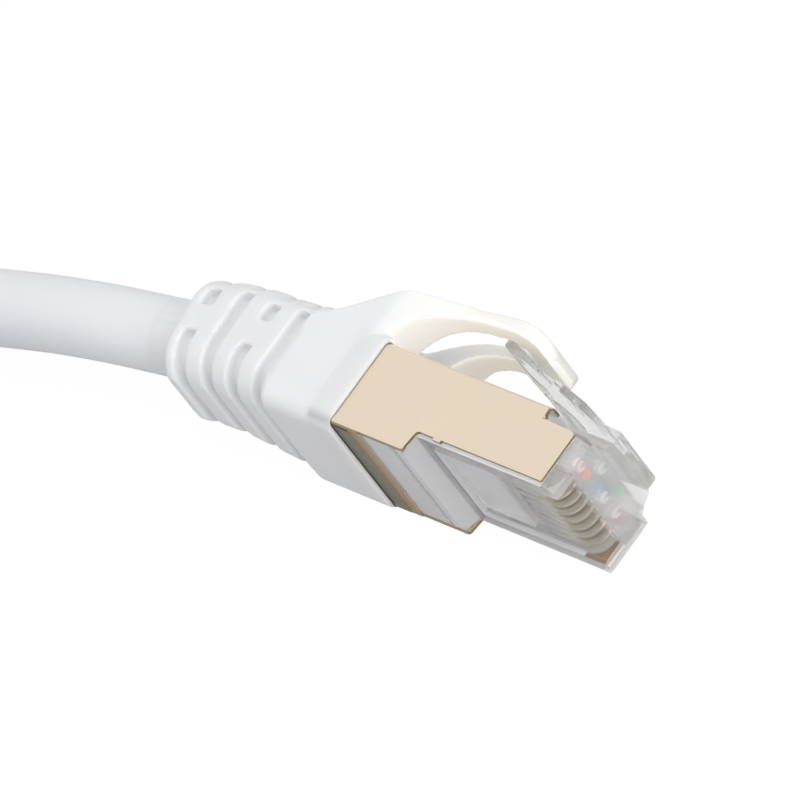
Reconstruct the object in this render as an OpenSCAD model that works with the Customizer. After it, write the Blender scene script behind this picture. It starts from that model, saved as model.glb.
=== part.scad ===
// Shielded ethernet patch cable with a moulded boot and a latch guard at each end.
// Each end is drawn in plug coordinates: X runs from the nose (0) back to the cable (negative),
// Y across the plug, Z from the contact face (0) up to the latch. It is then laid on its side.

/* [Plug housing] */
// Width of the plug over the sides of its shield
plug_w = 11.7; // [11.4:0.1:12.2]
// Height of the nose from the contact face to the top
nose_h = 5.9; // [5.7:0.1:6.4]
// How far the heel stands below the contact face
heel_drop = 1.8; // [1.4:0.1:2.2]
// Distance from the nose to the front of the heel
heel_start = 14.4; // [13.6:0.1:16]
// Distance from the nose to the front edge of the boot
boot_start = 22.2; // [21:0.1:24]
// Chamfer on the upright edges of the nose
nose_chamfer = 0.6; // [0.2:0.1:0.9]
// Height of the guide shoulders beside the latch root
shoulder_z = 4.6; // [4.2:0.1:5]
// Width of each guide shoulder
shoulder_w = 1.3; // [1:0.1:1.6]
// Length of the guide shoulders
shoulder_len = 4.7; // [4:0.1:6]
// Height of the comb window in the nose
comb_h = 1.7; // [1.4:0.1:2]
// Depth of the comb window in the nose
comb_depth = 0.9; // [0.6:0.1:1.1]
// Length of the contact slots
comb_len = 6; // [5.6:0.1:7]

/* [Shield] */
// Thickness of the shield's sheet
sheet_t = 0.25; // [0.15:0.05:0.35]
// How far the shield is set back from the nose
shield_setback = 1.2; // [1:0.1:1.6]
// Length of the band round the contact face ahead of the boot
band_len = 1.7; // [1:0.1:3]
// Distance from the nose to the front of the top plate
top_plate_start = 8.5; // [7:0.1:11]
// Length of the shield inside the boot
shield_cover = 2.4; // [2:0.1:3]
// Length of the round crimp collar
collar_len = 3.4; // [2.5:0.1:4.5]

/* [Contacts and wires] */
// Distance between neighbouring contacts
contact_pitch = 1.02; // [1:0.01:1.05]
// Thickness of a contact blade
blade_t = 0.3; // [0.2:0.05:0.35]
// Diameter of an insulated wire
wire_d = 0.95; // [0.8:0.05:0.95]
// Height of the lower row of wires above the contact face
low_row_z = 3.1; // [3:0.1:3.2]
// Height of the raised pair of wires above the contact face
high_row_z = 4.4; // [4.3:0.1:4.5]
// Length of the load bar that spaces the wires
bar_len = 8.8; // [7:0.1:10]

/* [Latch] */
// Width of the latch at its root
latch_w = 6.05; // [5.6:0.05:6.3]
// Width of the thumb tab behind the catches
tab_w = 3.2; // [2.8:0.1:3.6]
// Thickness of the latch arm
latch_t = 1; // [0.8:0.05:1.1]
// Distance from the nose to the tip of the tab
latch_len = 17.2; // [16.5:0.1:17.6]
// Angle at which the relaxed latch rises from the housing
latch_rise = 15; // [13:0.5:15.5]
// Distance from the nose to the catches
catch_x = 9.3; // [8.6:0.1:9.8]

/* [Boot] */
// How far the boot stands out from the shield's sides
boot_skin = 0.3; // [0.3:0.05:0.6]
// Length of the boot from its front edge to the cable outlet
boot_len = 24.3; // [23.8:0.1:26]
// Length of the boot's square front block
block_len = 7.7; // [7.2:0.1:8]
// Number of relief grooves
groove_count = 4; // [2:1:4]
// Distance between neighbouring grooves
groove_pitch = 3.3; // [2.9:0.1:3.4]
// Width of a groove
groove_w = 1.1; // [0.8:0.1:1.4]
// Depth of a groove
groove_depth = 0.8; // [0.5:0.1:0.9]
// Radius of the relief where the grooves end
relief_end_r = 4.8; // [4.5:0.1:5]
// Height of the cable's axis above the contact face
axis_z = 3; // [2.9:0.05:3.1]
// Angle by which the first end's relief is bent down with the cable
lean_a = 8; // [0:0.5:10]
// The same angle at the second end
lean_b = 0; // [0:0.5:10]

/* [Latch guard] */
// Width of the guard's strap in front of its root
strap_w = 8; // [7.6:0.1:8.6]
// Width of the window between the guard's two rails
window_w = 4.4; // [4:0.1:4.6]
// Distance from the nose to the front end of the window
window_front = 14; // [13.4:0.1:14.6]
// Distance from the nose to the rear end of the window
window_back = 26.6; // [25.5:0.1:27]

/* [Cable] */
// Outer diameter of the cable's jacket
cable_d = 6.2; // [5.8:0.1:6.3]
// Free gap left between neighbouring turns of the coil
turn_gap = 0.6; // [0.5:0.1:1]
// Thickness of the coil tie's ribbon
tie_t = 0.6; // [0.4:0.1:0.9]
// Width of the coil tie's ribbon
tie_w = 4; // [3:0.5:6]

/* [Hidden] */
$fn = 48;

// Clearances
seat_gap = 0.02;      // between fixed pieces that seat on each other
hinge_gap = 0.06;     // round the knuckles of the latch and the guard
over = 1;             // how far a cutter runs past the face it opens

// Housing
plug_half = plug_w / 2;
core_half = plug_half - sheet_t - seat_gap;
nose_inset = 0.15;
nose_half = plug_half - nose_inset;
shield_back = boot_start + shield_cover;
housing_len = shield_back - sheet_t - seat_gap;
nose_wall = 1.2;
cavity_floor = 2.1;
cavity_roof = nose_h - 0.8;
cavity_half = 4.6;
cable_room_start = nose_wall + bar_len + 1;
cable_room_floor = 0.4;
slot_w = 0.56;
comb_half = 4 * contact_pitch + slot_w / 2;
slit_w = blade_t + 0.08;
pocket_front = 7.6;
pocket_back = 12.8;
pocket_depth = 0.6;
pocket_half = 3.6;

// Contacts and wires
contact_count = 8;
wire_tip = nose_wall + 0.1;
wire_hole_gap = 0.05;
bar_gap = 0.05;
bar_front = nose_wall + bar_gap;
bar_back = bar_front + bar_len;
blade_front = 1.35;
blade_len = 4.2;
blade_edge_z = 0.45;
blade_edge_r = 0.5;
blade_body_z = 1.55;
tine_w = 0.9;
tine_tip_half = 0.15;
side_gap = 0.05;
wire_bend = 0.5;      // from the load bar to the wire's first bend
wire_stub = 1;        // straight end of the wire before the jacket
jacket_face = shield_back + seat_gap;
HIGH_ROW = [3, 6];
// Where each wire enters the jacket, from the cable's axis
HALF_BUNDLE = [[1.53, -0.04], [0.51, 0.23], [0.9, 1.24], [0.67, -1.27]] * (wire_d / 0.95);
BUNDLE = concat([for (p = HALF_BUNDLE) [-p[0], p[1]]], [for (i = [3:-1:0]) HALF_BUNDLE[i]]);
WIRE_COLORS = ["moccasin", "darkorange", "honeydew", "royalblue", "aliceblue", "forestgreen",
    "linen", "saddlebrown"];

// Shield
band_bottom = -heel_drop - sheet_t;
cable_r = cable_d / 2;
cuff_r = cable_r + 0.35;
collar_r = cuff_r + seat_gap;
collar_end = shield_back + collar_len;
wire_gate_r = 2.4;
corner_cut = 0.5;
edge_lean = 0.05;
heel_lean = 0.6;

// Latch
root_z = nose_h + 1.25;
latch_pivot_x = -2.2;
latch_pivot_z = nose_h + 0.95;
latch_knuckle_r = 0.45;
latch_half = latch_w / 2;
tab_half = tab_w / 2;
rise = tan(latch_rise);
arm_top_z = latch_pivot_z + 0.5;
catch_drop = 0.7;
catch_ramp = 2.2;
latch_relief_angle = 20;

// Boot
boot_half = plug_half + boot_skin;
boot_bottom = band_bottom - boot_skin - 0.1;
boot_top = nose_h + 0.4;
block_r = 0.9;
saddle_top = axis_z + cuff_r + 0.8;
saddle_r = 3;
saddle_start = shield_back - 1.4;
block_end = boot_start + block_len;
neck_end = block_end + 2.3;
boot_end = boot_start + boot_len;
bend_x = boot_end - 8;
bend_len = 8;
neck_half_w = boot_half - 0.35;
neck_half_h = cable_r + 1.25;
neck_r = 3;
relief_end = boot_end - 2.3;
outlet_r = relief_end_r - 1.1;
first_groove = block_end + 1.2;
bridge_h = 2.2;
bridge_w = 4.4;
ring_sides = 32;
cord_sides = 10;
bore_sides = 24;
coil_sides = 6;
wire_sides = 8;
bore_gap = 0.1;
pocket_gap = 0.05;

// Latch guard: the strap's outer and inner curves, from the boot's valley to the front end
strap_half = strap_w / 2;
window_half = window_w / 2;
strap_tip = 9.4;
valley_x = -block_end - 0.3;
strap_base = saddle_top - saddle_r;
guard_pivot_x = -19.3;
guard_pivot_z = nose_h + 4.98;
guard_knuckle_r = 0.68;
guard_relief_angle = 15;
strap_root_z = boot_top - 0.3;
strap_top = nose_h + 5.8;         // outer curve, highest near the middle
strap_under = strap_top - 1;      // inner curve below it
strap_mid_x = -18.2;
rail_x = -17;                     // where the strap's plan has drawn in to its rails
strap_inner_mid_x = strap_mid_x + 0.5;
strap_front_z = nose_h + 4.7;
strap_lip = 0.4;                  // how far the front end is rounded under
strap_inner_x = -22.6;            // inner curve where it meets the block
strap_reach = -strap_tip - strap_mid_x;
STRAP_OUTER = concat(
    bezier([valley_x, strap_root_z], [lerp(valley_x, strap_mid_x, 0.22), lerp(strap_root_z, strap_top, 0.38)],
        [lerp(valley_x, strap_mid_x, 0.52), lerp(strap_root_z, strap_top, 0.86)], [strap_mid_x, strap_top]),
    bezier([strap_mid_x, strap_top], [strap_mid_x + 0.42 * strap_reach, strap_top + strap_lip],
        [strap_mid_x + 0.76 * strap_reach, strap_top], [-strap_tip, strap_front_z]));
STRAP_INNER = concat(
    bezier([-strap_tip - strap_lip, strap_front_z - strap_lip],
        [strap_mid_x + 0.65 * strap_reach, strap_under + strap_lip],
        [strap_mid_x + 0.31 * strap_reach, strap_under + strap_lip], [strap_inner_mid_x, strap_under]),
    bezier([strap_inner_mid_x, strap_under], [lerp(strap_inner_mid_x, strap_inner_x, 0.51),
        lerp(strap_under, strap_root_z, 0.11)], [lerp(strap_inner_mid_x, strap_inner_x, 0.92),
        lerp(strap_under, strap_root_z, 0.45)], [strap_inner_x, strap_root_z]),
    [[strap_inner_x, strap_base], [valley_x, strap_base]]);

// Placing: both ends lie on their side, noses to +X, boots on the floor at Z = 0
apex_z = max([for (p = STRAP_OUTER) p[1]]);
rear_reach = bend_x + (boot_end - bend_x) * cos(lean_a) + outlet_r * sin(lean_a);
assembly_mid = rear_reach / 2;
stand_y = -(apex_z + boot_bottom) / 2;

// Cable route in world coordinates, chosen by hand: out of the first boot and down to the coil,
// then from the coil's end up into the second boot
lay_z = tie_t + cable_r;
tail_level = 1.5;     // level stretch behind the coil
tail_sag = 0.35;      // how far the cable dips on its way to the second boot
tail_shift = 2.45;    // and how far it is drawn in beside the coil
exit_a = outlet(lean_a, stand_y);
LEAD_END = [-65.94, -10.51, lay_z];
LEAD_ROUTE = [exit_a, exit_a - cable_d * [cos(lean_a), sin(lean_a), 0], [-35.5, -4.6, 5.7],
    [-42, -5.7, 5], [-49, -7, 4.3], [-56, -8.4, lay_z + 0.1], LEAD_END];
coil_heading = 192;
coil_start_angle = coil_heading - 90;
coil_end_angle = 270;
coil_laps = 4;
coil_outer_r = 40;
coil_rings_per_turn = 24;
turn_pitch = cable_d + turn_gap;
top_z = lay_z + turn_pitch;
coil_turns = coil_laps + (coil_end_angle - coil_start_angle) / 360;
half_turns = coil_turns / 2;
quarter = 0.25;       // the climb starts this part of a turn before the middle and ends as far after
coil_start = LEAD_END + cable_d * [cos(coil_heading), sin(coil_heading), 0];
coil_centre = coil_start - coil_outer_r * [cos(coil_start_angle), sin(coil_start_angle), 0];
coil_end = coil_centre + [coil_outer_r * cos(coil_end_angle), coil_outer_r * sin(coil_end_angle), turn_pitch];
coil_exit = coil_end + [cable_d, 0, 0];
stand_y_b = coil_end[1] + tail_shift - outlet(lean_b, 0)[1];
exit_b = outlet(lean_b, stand_y_b);
tail_end = exit_b - [cable_d, 0, 0];
tail_low = tail_end - [0, 0, tail_sag];
TAIL_ROUTE = concat([coil_exit, coil_exit + [tail_level, 0, 0]],
    [for (t = [[0.19, 0, 0.17], [0.39, 0.12, 0.5], [0.56, 0.45, 0.82], [0.73, 0.8, 1], [0.88, 1, 1]])
        [lerp(coil_exit[0], tail_end[0], t[0]), lerp(coil_exit[1], tail_end[1], t[1]),
            lerp(coil_exit[2], tail_low[2], t[2])]],
    [tail_end, exit_b]);

// Ties: how much is left round the strands, and the twisted ends
tie_slack = 0.1;
twist_d = 2;
twist_len = 1.8;

echo(lead = path_length(LEAD_ROUTE), coil = path_length(coil_path()), tail = path_length(TAIL_ROUTE));
echo(least_gap_between_turns = coil_gap());
echo(assembly_mid = assembly_mid, stand_y = stand_y, stand_y_b = stand_y_b, coil_centre = coil_centre);

// The middle of the cable outlet of an end that leans by this angle and stands at this Y
function outlet(lean, stand) = [assembly_mid - bend_x - (boot_end - bend_x) * cos(lean),
    stand + axis_z - (boot_end - bend_x) * sin(lean), boot_half];

// Points of a cubic curve in steps short enough to look round
function bezier(a, b, c, d, steps = 8) = [for (i = [0:steps])
    let (t = i / steps, s = 1 - t) s * s * s * a + 3 * s * s * t * b + 3 * s * t * t * c + t * t * t * d];

function lerp(a, b, t) = a + (b - a) * t;

function path_length(p) = len(p) < 2 ? 0 : len_sum([for (i = [1:len(p) - 1]) norm(p[i] - p[i - 1])]);

function len_sum(v) = v * [for (i = v) 1];

// Height of wire number i above the contact face
function row_z(i) = len(search(i, HIGH_ROW)) > 0 ? high_row_z : low_row_z;

function contact_y(i) = (i - (contact_count + 1) / 2) * contact_pitch;

// The coil: in on the floor layer, up one layer inside, and out again on top
function smooth(t) = t * t * (3 - 2 * t);
function climb(u) = smooth(max(0, min(1, (u - half_turns + quarter) / (2 * quarter))));
function inward(u) = let (d = abs(u - half_turns))
    d > quarter ? half_turns - d : half_turns - quarter / 2 - d * d / (2 * quarter);
function coil_point(u) = let (r = coil_outer_r - turn_pitch * inward(u), a = coil_start_angle + 360 * u)
    [coil_centre[0] + r * cos(a), coil_centre[1] + r * sin(a), lerp(lay_z, top_z, climb(u))];
function coil_path() = let (n = round(coil_turns * coil_rings_per_turn)) concat(
    [LEAD_END], [for (i = [0:n]) coil_point(coil_turns * i / n)], [coil_exit]);
function coil_gap() = let (p = coil_path(), apart = round(coil_rings_per_turn * 0.6))
    min([for (i = [0:len(p) - 1]) for (j = [i + apart:1:len(p) - 1]) norm(p[i] - p[j])]) - cable_d;

// A closed skin over rings that all have the same number of points
module skin(rings) {
    n = len(rings);
    sides = len(rings[0]);
    last = (n - 1) * sides;
    walls = [for (i = [0:n - 2]) for (k = [0:sides - 1]) let (a = i * sides, b = (k + 1) % sides)
        each [[a + k, a + sides + b, a + b], [a + k, a + sides + k, a + sides + b]]];
    front = [for (k = [1:sides - 2]) [0, k, k + 1]];
    back = [for (k = [1:sides - 2]) [last, last + k + 1, last + k]];
    polyhedron([for (r = rings) each r], concat(walls, front, back));
}

// A tube of round section swept along a path, square to it at both ends
module tube(path, r, sides) {
    n = len(path);
    function heading(i) = let (d = path[min(i + 1, n - 1)] - path[max(i - 1, 0)]) d / norm(d);
    function side(i) = let (s = cross([0, 0, 1], heading(i))) s / norm(s);
    function ring(i) = let (s = side(i), u = cross(heading(i), s))
        [for (k = [0:sides - 1]) let (a = 360 * (k + 0.5) / sides)
            path[i] + r * (cos(a) * s + sin(a) * u)];
    skin([for (i = [0:n - 1]) ring(i)]);
}

// A rectangle with round corners, centred on the origin
module round_rect(half_x, half_y, r) {
    square([2 * half_x, 2 * (half_y - r)], center = true);
    square([2 * (half_x - r), 2 * half_y], center = true);
    for (x = [-1, 1], y = [-1, 1])
        translate([x * (half_x - r), y * (half_y - r)])
            circle(r);
}

// Lays a section drawn in Y and Z across the plug, from distance back1 to back2 behind the nose
module across(back1, back2) {
    translate([-back2, 0, 0])
        rotate([90, 0, 90])
            linear_extrude(back2 - back1)
                children();
}

// Stands a profile drawn in X and Z up across the plug's width
module upright(half) {
    translate([0, half, 0])
        rotate([90, 0, 0])
            linear_extrude(2 * half)
                children();
}

module block(back1, back2, half, z1, z2) {
    translate([-back2, -half, z1])
        cube([back2 - back1, 2 * half, z2 - z1]);
}

module along(back1, back2, r) {
    translate([-back2, 0, axis_z])
        rotate([0, 90, 0])
            cylinder(h = back2 - back1, r = r);
}

// How much of the lean is reached at distance back behind the nose, and where a point goes with it
function lean_at(back, lean) = lean * max(0, min(1, (back - bend_x) / bend_len + 0.5));
function bent(p, lean) = let (a = lean_at(-p[0], lean), x = p[0] + bend_x, z = p[2] - axis_z)
    [x * cos(a) - z * sin(a) - bend_x, p[1], x * sin(a) + z * cos(a) + axis_z];

// The cable's room in the boot from back1 through the bend to back2
module cable_way(back1, back2, r, lean) {
    tube([for (back = [back1, bend_x - bend_len / 2, bend_x - 1, bend_x + 1, boot_end - 3, back2])
        bent([-back, 0, axis_z], lean)], r, bore_sides);
}

// Clear housing with its comb, wire room, heel and the fixed root of the latch
module housing() {
    color("gainsboro", 0.6)
        difference() {
            housing_solid();
            shoulders();
            comb();
            block(nose_wall, housing_len + over, cavity_half, cavity_floor, cavity_roof);
            block(cable_room_start, housing_len + over, cavity_half, cable_room_floor, cavity_roof);
            block(pocket_front, pocket_back, pocket_half, -over, pocket_depth);
            latch_seat();
        }
}

module housing_solid() {
    intersection() {
        block(0, shield_setback - seat_gap, nose_half, 0, nose_h);
        upright_prism();
    }
    block(shield_setback - seat_gap, housing_len, core_half, 0, nose_h - sheet_t - seat_gap);
    block(shield_setback - seat_gap, top_plate_start - seat_gap, core_half, 0, nose_h);
    block(heel_start, housing_len, core_half, -heel_drop + seat_gap, 0);
    block(0, -latch_pivot_x, latch_half, nose_h, root_z);
}

// Plan of the nose with chamfered upright edges
module upright_prism() {
    front = nose_half - nose_chamfer;
    linear_extrude(nose_h)
        polygon([[0, -front], [0, front], [-nose_chamfer, nose_half], [-shield_setback, nose_half],
            [-shield_setback, -nose_half], [-nose_chamfer, -nose_half]]);
}

module shoulders() {
    for (s = [-1, 1])
        translate([-shoulder_len, s > 0 ? plug_half - shoulder_w : -plug_half - over, shoulder_z])
            cube([shoulder_len + over, shoulder_w + over, nose_h]);
}

module comb() {
    block(-over, comb_depth, comb_half, -over, comb_h);
    for (i = [1:contact_count])
        translate([0, contact_y(i), 0]) {
            block(-over, comb_len, slot_w / 2, -over, comb_h);
            block(blade_front, blade_front + blade_len, slit_w / 2, 0, cavity_floor + over);
        }
}

// Round seat that leaves the latch's knuckle free to turn
module latch_seat() {
    translate([latch_pivot_x, 0, latch_pivot_z])
        rotate([90, 0, 0])
            cylinder(h = latch_w + over, r = latch_knuckle_r + hinge_gap, center = true);
}

// Latch: knuckle, rising arm, catches and a narrow thumb tab
module latch() {
    color("whitesmoke", 0.6)
        difference() {
            union() {
                intersection() {
                    upright(latch_half)
                        latch_profile();
                    latch_plan();
                }
                translate([latch_pivot_x, 0, latch_pivot_z])
                    rotate([90, 0, 0])
                        cylinder(h = latch_w, r = latch_knuckle_r, center = true);
            }
            translate([0, 0, -over])
                linear_extrude(nose_h + over + hinge_gap)
                    square(4 * latch_len, center = true);
        }
}

// Side view of the latch arm
module latch_profile() {
    x0 = latch_pivot_x - hinge_gap;
    tail_z = arm_top_z + rise * (latch_len + x0);
    catch_z = arm_top_z + rise * (catch_x + x0);
    lean = latch_t * tan(latch_relief_angle);
    polygon([[x0, arm_top_z], [-latch_len, tail_z], [-latch_len, tail_z - latch_t],
        [-catch_x, catch_z - latch_t], [-catch_x, catch_z - latch_t - catch_drop],
        [-catch_x + catch_ramp, catch_z - latch_t - rise * catch_ramp],
        [x0 - lean, arm_top_z - latch_t + rise * lean]]);
}

// Plan of the latch: wide to the catches, then the tab with a round tip
module latch_plan() {
    linear_extrude(nose_h * 3) {
        translate([-catch_x, -latch_half])
            square([catch_x, latch_w]);
        translate([-latch_len + tab_half, -tab_half])
            square([latch_len - tab_half - over, tab_w]);
        translate([-latch_len + tab_half, 0])
            circle(tab_half);
    }
}

// Stamped shield: two sides, top plate, band round the contact face, rear wall and crimp collar
module shield() {
    color("#e6c98c")
        difference() {
            union() {
                for (s = [-1, 1])
                    translate([0, s * (plug_half - sheet_t / 2), 0])
                        upright(sheet_t / 2)
                            side_plate();
                block(top_plate_start, shield_back, plug_half, nose_h - sheet_t, nose_h);
                block(boot_start - band_len, shield_back, plug_half, band_bottom, -heel_drop);
                block(shield_back - sheet_t, shield_back, plug_half, band_bottom, nose_h);
                along(shield_back - sheet_t, collar_end, collar_r + sheet_t);
            }
            along(shield_back - over, collar_end, wire_gate_r);
            along(shield_back, collar_end + over, collar_r);
        }
}

// Outline of one side of the shield
module side_plate() {
    front = -shield_setback;
    polygon([[front, 0], [front, shoulder_z - corner_cut], [front - corner_cut, shoulder_z - edge_lean],
        [-shoulder_len + corner_cut, shoulder_z + edge_lean], [-shoulder_len, shoulder_z + corner_cut],
        [-shoulder_len, nose_h], [-shield_back, nose_h], [-shield_back, band_bottom],
        [-boot_start + band_len, band_bottom], [-boot_start + band_len, -heel_drop],
        [-heel_start, -heel_drop], [-heel_start + heel_lean, 0]]);
}

// Load bar: spaces the wires in their two rows over the contacts
module load_bar() {
    color("lightgray", 0.6)
        difference() {
            block(bar_front, bar_back, cavity_half - bar_gap, cavity_floor + bar_gap, cavity_roof - bar_gap);
            for (i = [1:contact_count]) {
                translate([-bar_back - over, contact_y(i), row_z(i)])
                    rotate([0, 90, 0])
                        cylinder(h = bar_len + 2 * over, d = wire_d + 2 * wire_hole_gap, $fn = 24);
                translate([0, contact_y(i), 0])
                    block(blade_front, blade_front + blade_len, slit_w / 2, 0, row_z(i));
            }
        }
}

// Eight contact blades, each with a round lower edge and two tines below its wire
module contacts() {
    color("#d9b25f")
        for (i = [1:contact_count])
            translate([0, contact_y(i), 0])
                upright(blade_t / 2)
                    blade_profile(row_z(i) - wire_d / 2 - wire_hole_gap);
}

module blade_profile(tip_z) {
    front = -blade_front - side_gap;
    back = -blade_front - blade_len + side_gap;
    tine_mid = tine_w / 2;
    translate([back + blade_edge_r, blade_edge_z])
        square([front - back - 2 * blade_edge_r, blade_body_z - blade_edge_z]);
    translate([back, blade_edge_z + blade_edge_r])
        square([front - back, blade_body_z - blade_edge_z - blade_edge_r]);
    for (x = [back + blade_edge_r, front - blade_edge_r])
        translate([x, blade_edge_z + blade_edge_r])
            circle(blade_edge_r, $fn = 24);
    for (x = [back, front - tine_w])
        polygon([[x, blade_body_z - seat_gap], [x + tine_w, blade_body_z - seat_gap],
            [x + tine_mid + tine_tip_half, tip_z], [x + tine_mid - tine_tip_half, tip_z]]);
}

// One insulated wire: straight through the load bar, over to its place in the bundle, and straight
// again to the jacket's face
module wire(i) {
    bend = [-bar_back - wire_bend, contact_y(i), row_z(i)];
    knee = [-jacket_face + wire_stub, BUNDLE[i - 1][0], axis_z + BUNDLE[i - 1][1]];
    color(WIRE_COLORS[i - 1])
        tube([[-wire_tip, bend[1], bend[2]], bend, knee, [-jacket_face + seat_gap, knee[1], knee[2]]],
            wire_d / 2, wire_sides);
}

// Cable jacket inside the boot
module jacket_end(lean) {
    color("white")
        cable_way(jacket_face, boot_end, cable_r, lean);
}

// Braid of the cable's screen, folded back over the jacket under the collar
module braid_cuff() {
    color("silver")
        difference() {
            along(jacket_face, collar_end, cuff_r);
            along(jacket_face - over, collar_end + over, cable_r + seat_gap);
        }
}

// Section of the boot's block up to top_z with corners of top_r, drawn in Y and Z
module block_section(top_z, top_r) {
    intersection() {
        translate([0, (top_z + boot_bottom) / 2])
            round_rect(boot_half, (top_z - boot_bottom) / 2, block_r);
        translate([0, top_z - 3 * saddle_r])
            round_rect(boot_half, 3 * saddle_r, top_r);
    }
}

// Section of the relief at distance back behind the nose, drawn in Y and Z
module relief_section(back, inset) {
    t = (back - neck_end) / (relief_end - neck_end);
    translate([0, axis_z])
        round_rect(lerp(neck_half_w, relief_end_r, t) - inset, lerp(neck_half_h, relief_end_r, t) - inset,
            lerp(neck_r, relief_end_r, t) - inset - seat_gap);
}

// One ring of the relief's skin: a rectangle with round corners about mid_z
function relief_ring(back, half_w, half_h, r, mid_z, lean) = [for (k = [0:ring_sides - 1])
    let (a = 360 * (k + 0.5) / ring_sides)
        bent([-back, -sign(cos(a)) * (half_w - r) - r * cos(a),
            mid_z + sign(sin(a)) * (half_h - r) + r * sin(a)], lean)];

function round_ring(back, r, lean) = relief_ring(back, r, r, r, axis_z, lean);

// The same ring at a distance between the neck and the relief's end
function taper_ring(back, lean) = let (t = (back - neck_end) / (relief_end - neck_end))
    relief_ring(back, lerp(neck_half_w, relief_end_r, t), lerp(neck_half_h, relief_end_r, t),
        lerp(neck_r, relief_end_r, t), axis_z, lean);

module relief(lean) {
    skin([relief_ring(block_end - over, boot_half - 0.1, (saddle_top - boot_bottom) / 2 - 0.1, saddle_r,
            (saddle_top + boot_bottom) / 2, 0),
        taper_ring(neck_end, lean), taper_ring(bend_x - 3, lean), taper_ring(bend_x - 1, lean),
        taper_ring(bend_x + 1, lean), taper_ring(relief_end, lean),
        round_ring(relief_end + 1.4, relief_end_r - 0.3, lean), round_ring(boot_end, outlet_r, lean)]);
}

// Boot: square block on the plug, slotted relief on the cable and the root of the guard
module boot(lean) {
    color("white")
        difference() {
            union() {
                across(boot_start, saddle_start + over)
                    block_section(boot_top, block_r);
                across(saddle_start, block_end)
                    block_section(saddle_top, saddle_r);
                relief(lean);
                guard_root();
            }
            for (k = [0:groove_count - 1])
                groove(first_groove + k * groove_pitch, k % 2 == 0, lean);
            block(boot_start - over, shield_back + pocket_gap, plug_half + pocket_gap,
                band_bottom - pocket_gap, nose_h + pocket_gap);
            along(boot_start, collar_end + pocket_gap, collar_r + sheet_t + pocket_gap);
            cable_way(boot_start, boot_end + over, cable_r + bore_gap, lean);
        }
}

// A relief groove in two halves, parted by bridges at the sides or at top and bottom
module groove(back, top_bridge, lean) {
    wide = 6 * relief_end_r;
    translate([-bend_x, 0, axis_z])
        rotate([0, -lean_at(back, lean), 0])
            translate([bend_x, 0, -axis_z])
                across(back - groove_w / 2, back + groove_w / 2)
                    difference() {
                        translate([0, axis_z])
                            square(wide, center = true);
                        relief_section(back, groove_depth);
                        translate([0, axis_z])
                            square(top_bridge ? [bridge_w, wide] : [wide, bridge_h], center = true);
                    }
}

// The part of the strap that is fixed to the boot, up to the guard's pivot
module guard_root() {
    difference() {
        intersection() {
            strap();
            block(-guard_pivot_x + hinge_gap, block_end, boot_half, strap_base, 3 * nose_h);
        }
        guard_knuckle(hinge_gap);
    }
}

// The moving part of the strap: knuckle, two rails and the front end that presses the latch
module guard() {
    color("ivory")
        union() {
            difference() {
                intersection() {
                    strap();
                    block(0, -guard_pivot_x, boot_half, 0, 3 * nose_h);
                }
                translate([guard_pivot_x, 0, guard_pivot_z])
                    rotate([0, guard_relief_angle, 0])
                        translate([-over, -boot_half - over, -2 * over])
                            cube([over, plug_w + 3 * over, 2 * over]);
            }
            intersection() {
                guard_knuckle(0);
                strap_plan();
            }
        }
}

module guard_knuckle(gap) {
    translate([guard_pivot_x, 0, guard_pivot_z])
        rotate([90, 0, 0])
            cylinder(h = plug_w + 3 * over, r = guard_knuckle_r + gap, center = true);
}

// The whole strap as one arch, cut to its plan and opened by the window
module strap() {
    intersection() {
        upright(boot_half)
            polygon(concat(STRAP_OUTER, STRAP_INNER));
        strap_plan();
    }
}

// Plan of the strap: as wide as the boot at its root, drawn in to the rails, round at the front
module strap_plan() {
    linear_extrude(3 * nose_h)
        difference() {
            union() {
                polygon(concat([[valley_x - over, -boot_half]],
                    bezier([-boot_start, -boot_half], [lerp(-boot_start, rail_x, 0.35), -boot_half],
                        [lerp(-boot_start, rail_x, 0.46), -strap_half], [rail_x, -strap_half]),
                    [[-strap_tip - strap_half, -strap_half], [-strap_tip - strap_half, strap_half]],
                    bezier([rail_x, strap_half], [lerp(-boot_start, rail_x, 0.46), strap_half],
                        [lerp(-boot_start, rail_x, 0.35), boot_half], [-boot_start, boot_half]),
                    [[valley_x - over, boot_half]]));
                translate([-strap_tip - strap_half, 0])
                    circle(strap_half);
            }
            window_plan();
        }
}

module window_plan() {
    for (x = [window_front, window_back])
        translate([-x + (x == window_front ? -window_half : window_half), 0])
            circle(window_half);
    translate([-window_back + window_half, -window_half])
        square([window_back - window_front - window_w, window_w]);
}

module cable_lead() {
    color("white")
        tube(LEAD_ROUTE, cable_r, cord_sides);
}

module cable_coil() {
    color("white")
        tube(coil_path(), cable_r, coil_sides);
}

module cable_tail() {
    color("white")
        tube(TAIL_ROUTE, cable_r, cord_sides);
}

// A ribbon tie round the strands that pass at this angle, between these numbers of turns inward,
// with its twisted ends standing out on the inside
module coil_tie(angle, turns_out, turns_in) {
    outer_r = coil_outer_r - turns_out * turn_pitch;
    inner_r = coil_outer_r - turns_in * turn_pitch;
    mid_z = (lay_z + top_z) / 2;
    half_r = (outer_r - inner_r) / 2 + cable_r + tie_slack;
    color("whitesmoke")
        translate([coil_centre[0], coil_centre[1], mid_z])
            rotate([0, 0, angle])
                translate([(outer_r + inner_r) / 2, 0, 0]) {
                    rotate([90, 0, 0])
                        linear_extrude(tie_w, center = true)
                            difference() {
                                round_rect(half_r + tie_t, mid_z, cable_r);
                                round_rect(half_r, mid_z - tie_t + seat_gap, cable_r - tie_t);
                            }
                    translate([-half_r - tie_t / 2 - twist_len, 0, 0])
                        rotate([0, 90, 0])
                            cylinder(h = twist_len, d = twist_d);
                }
}

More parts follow.
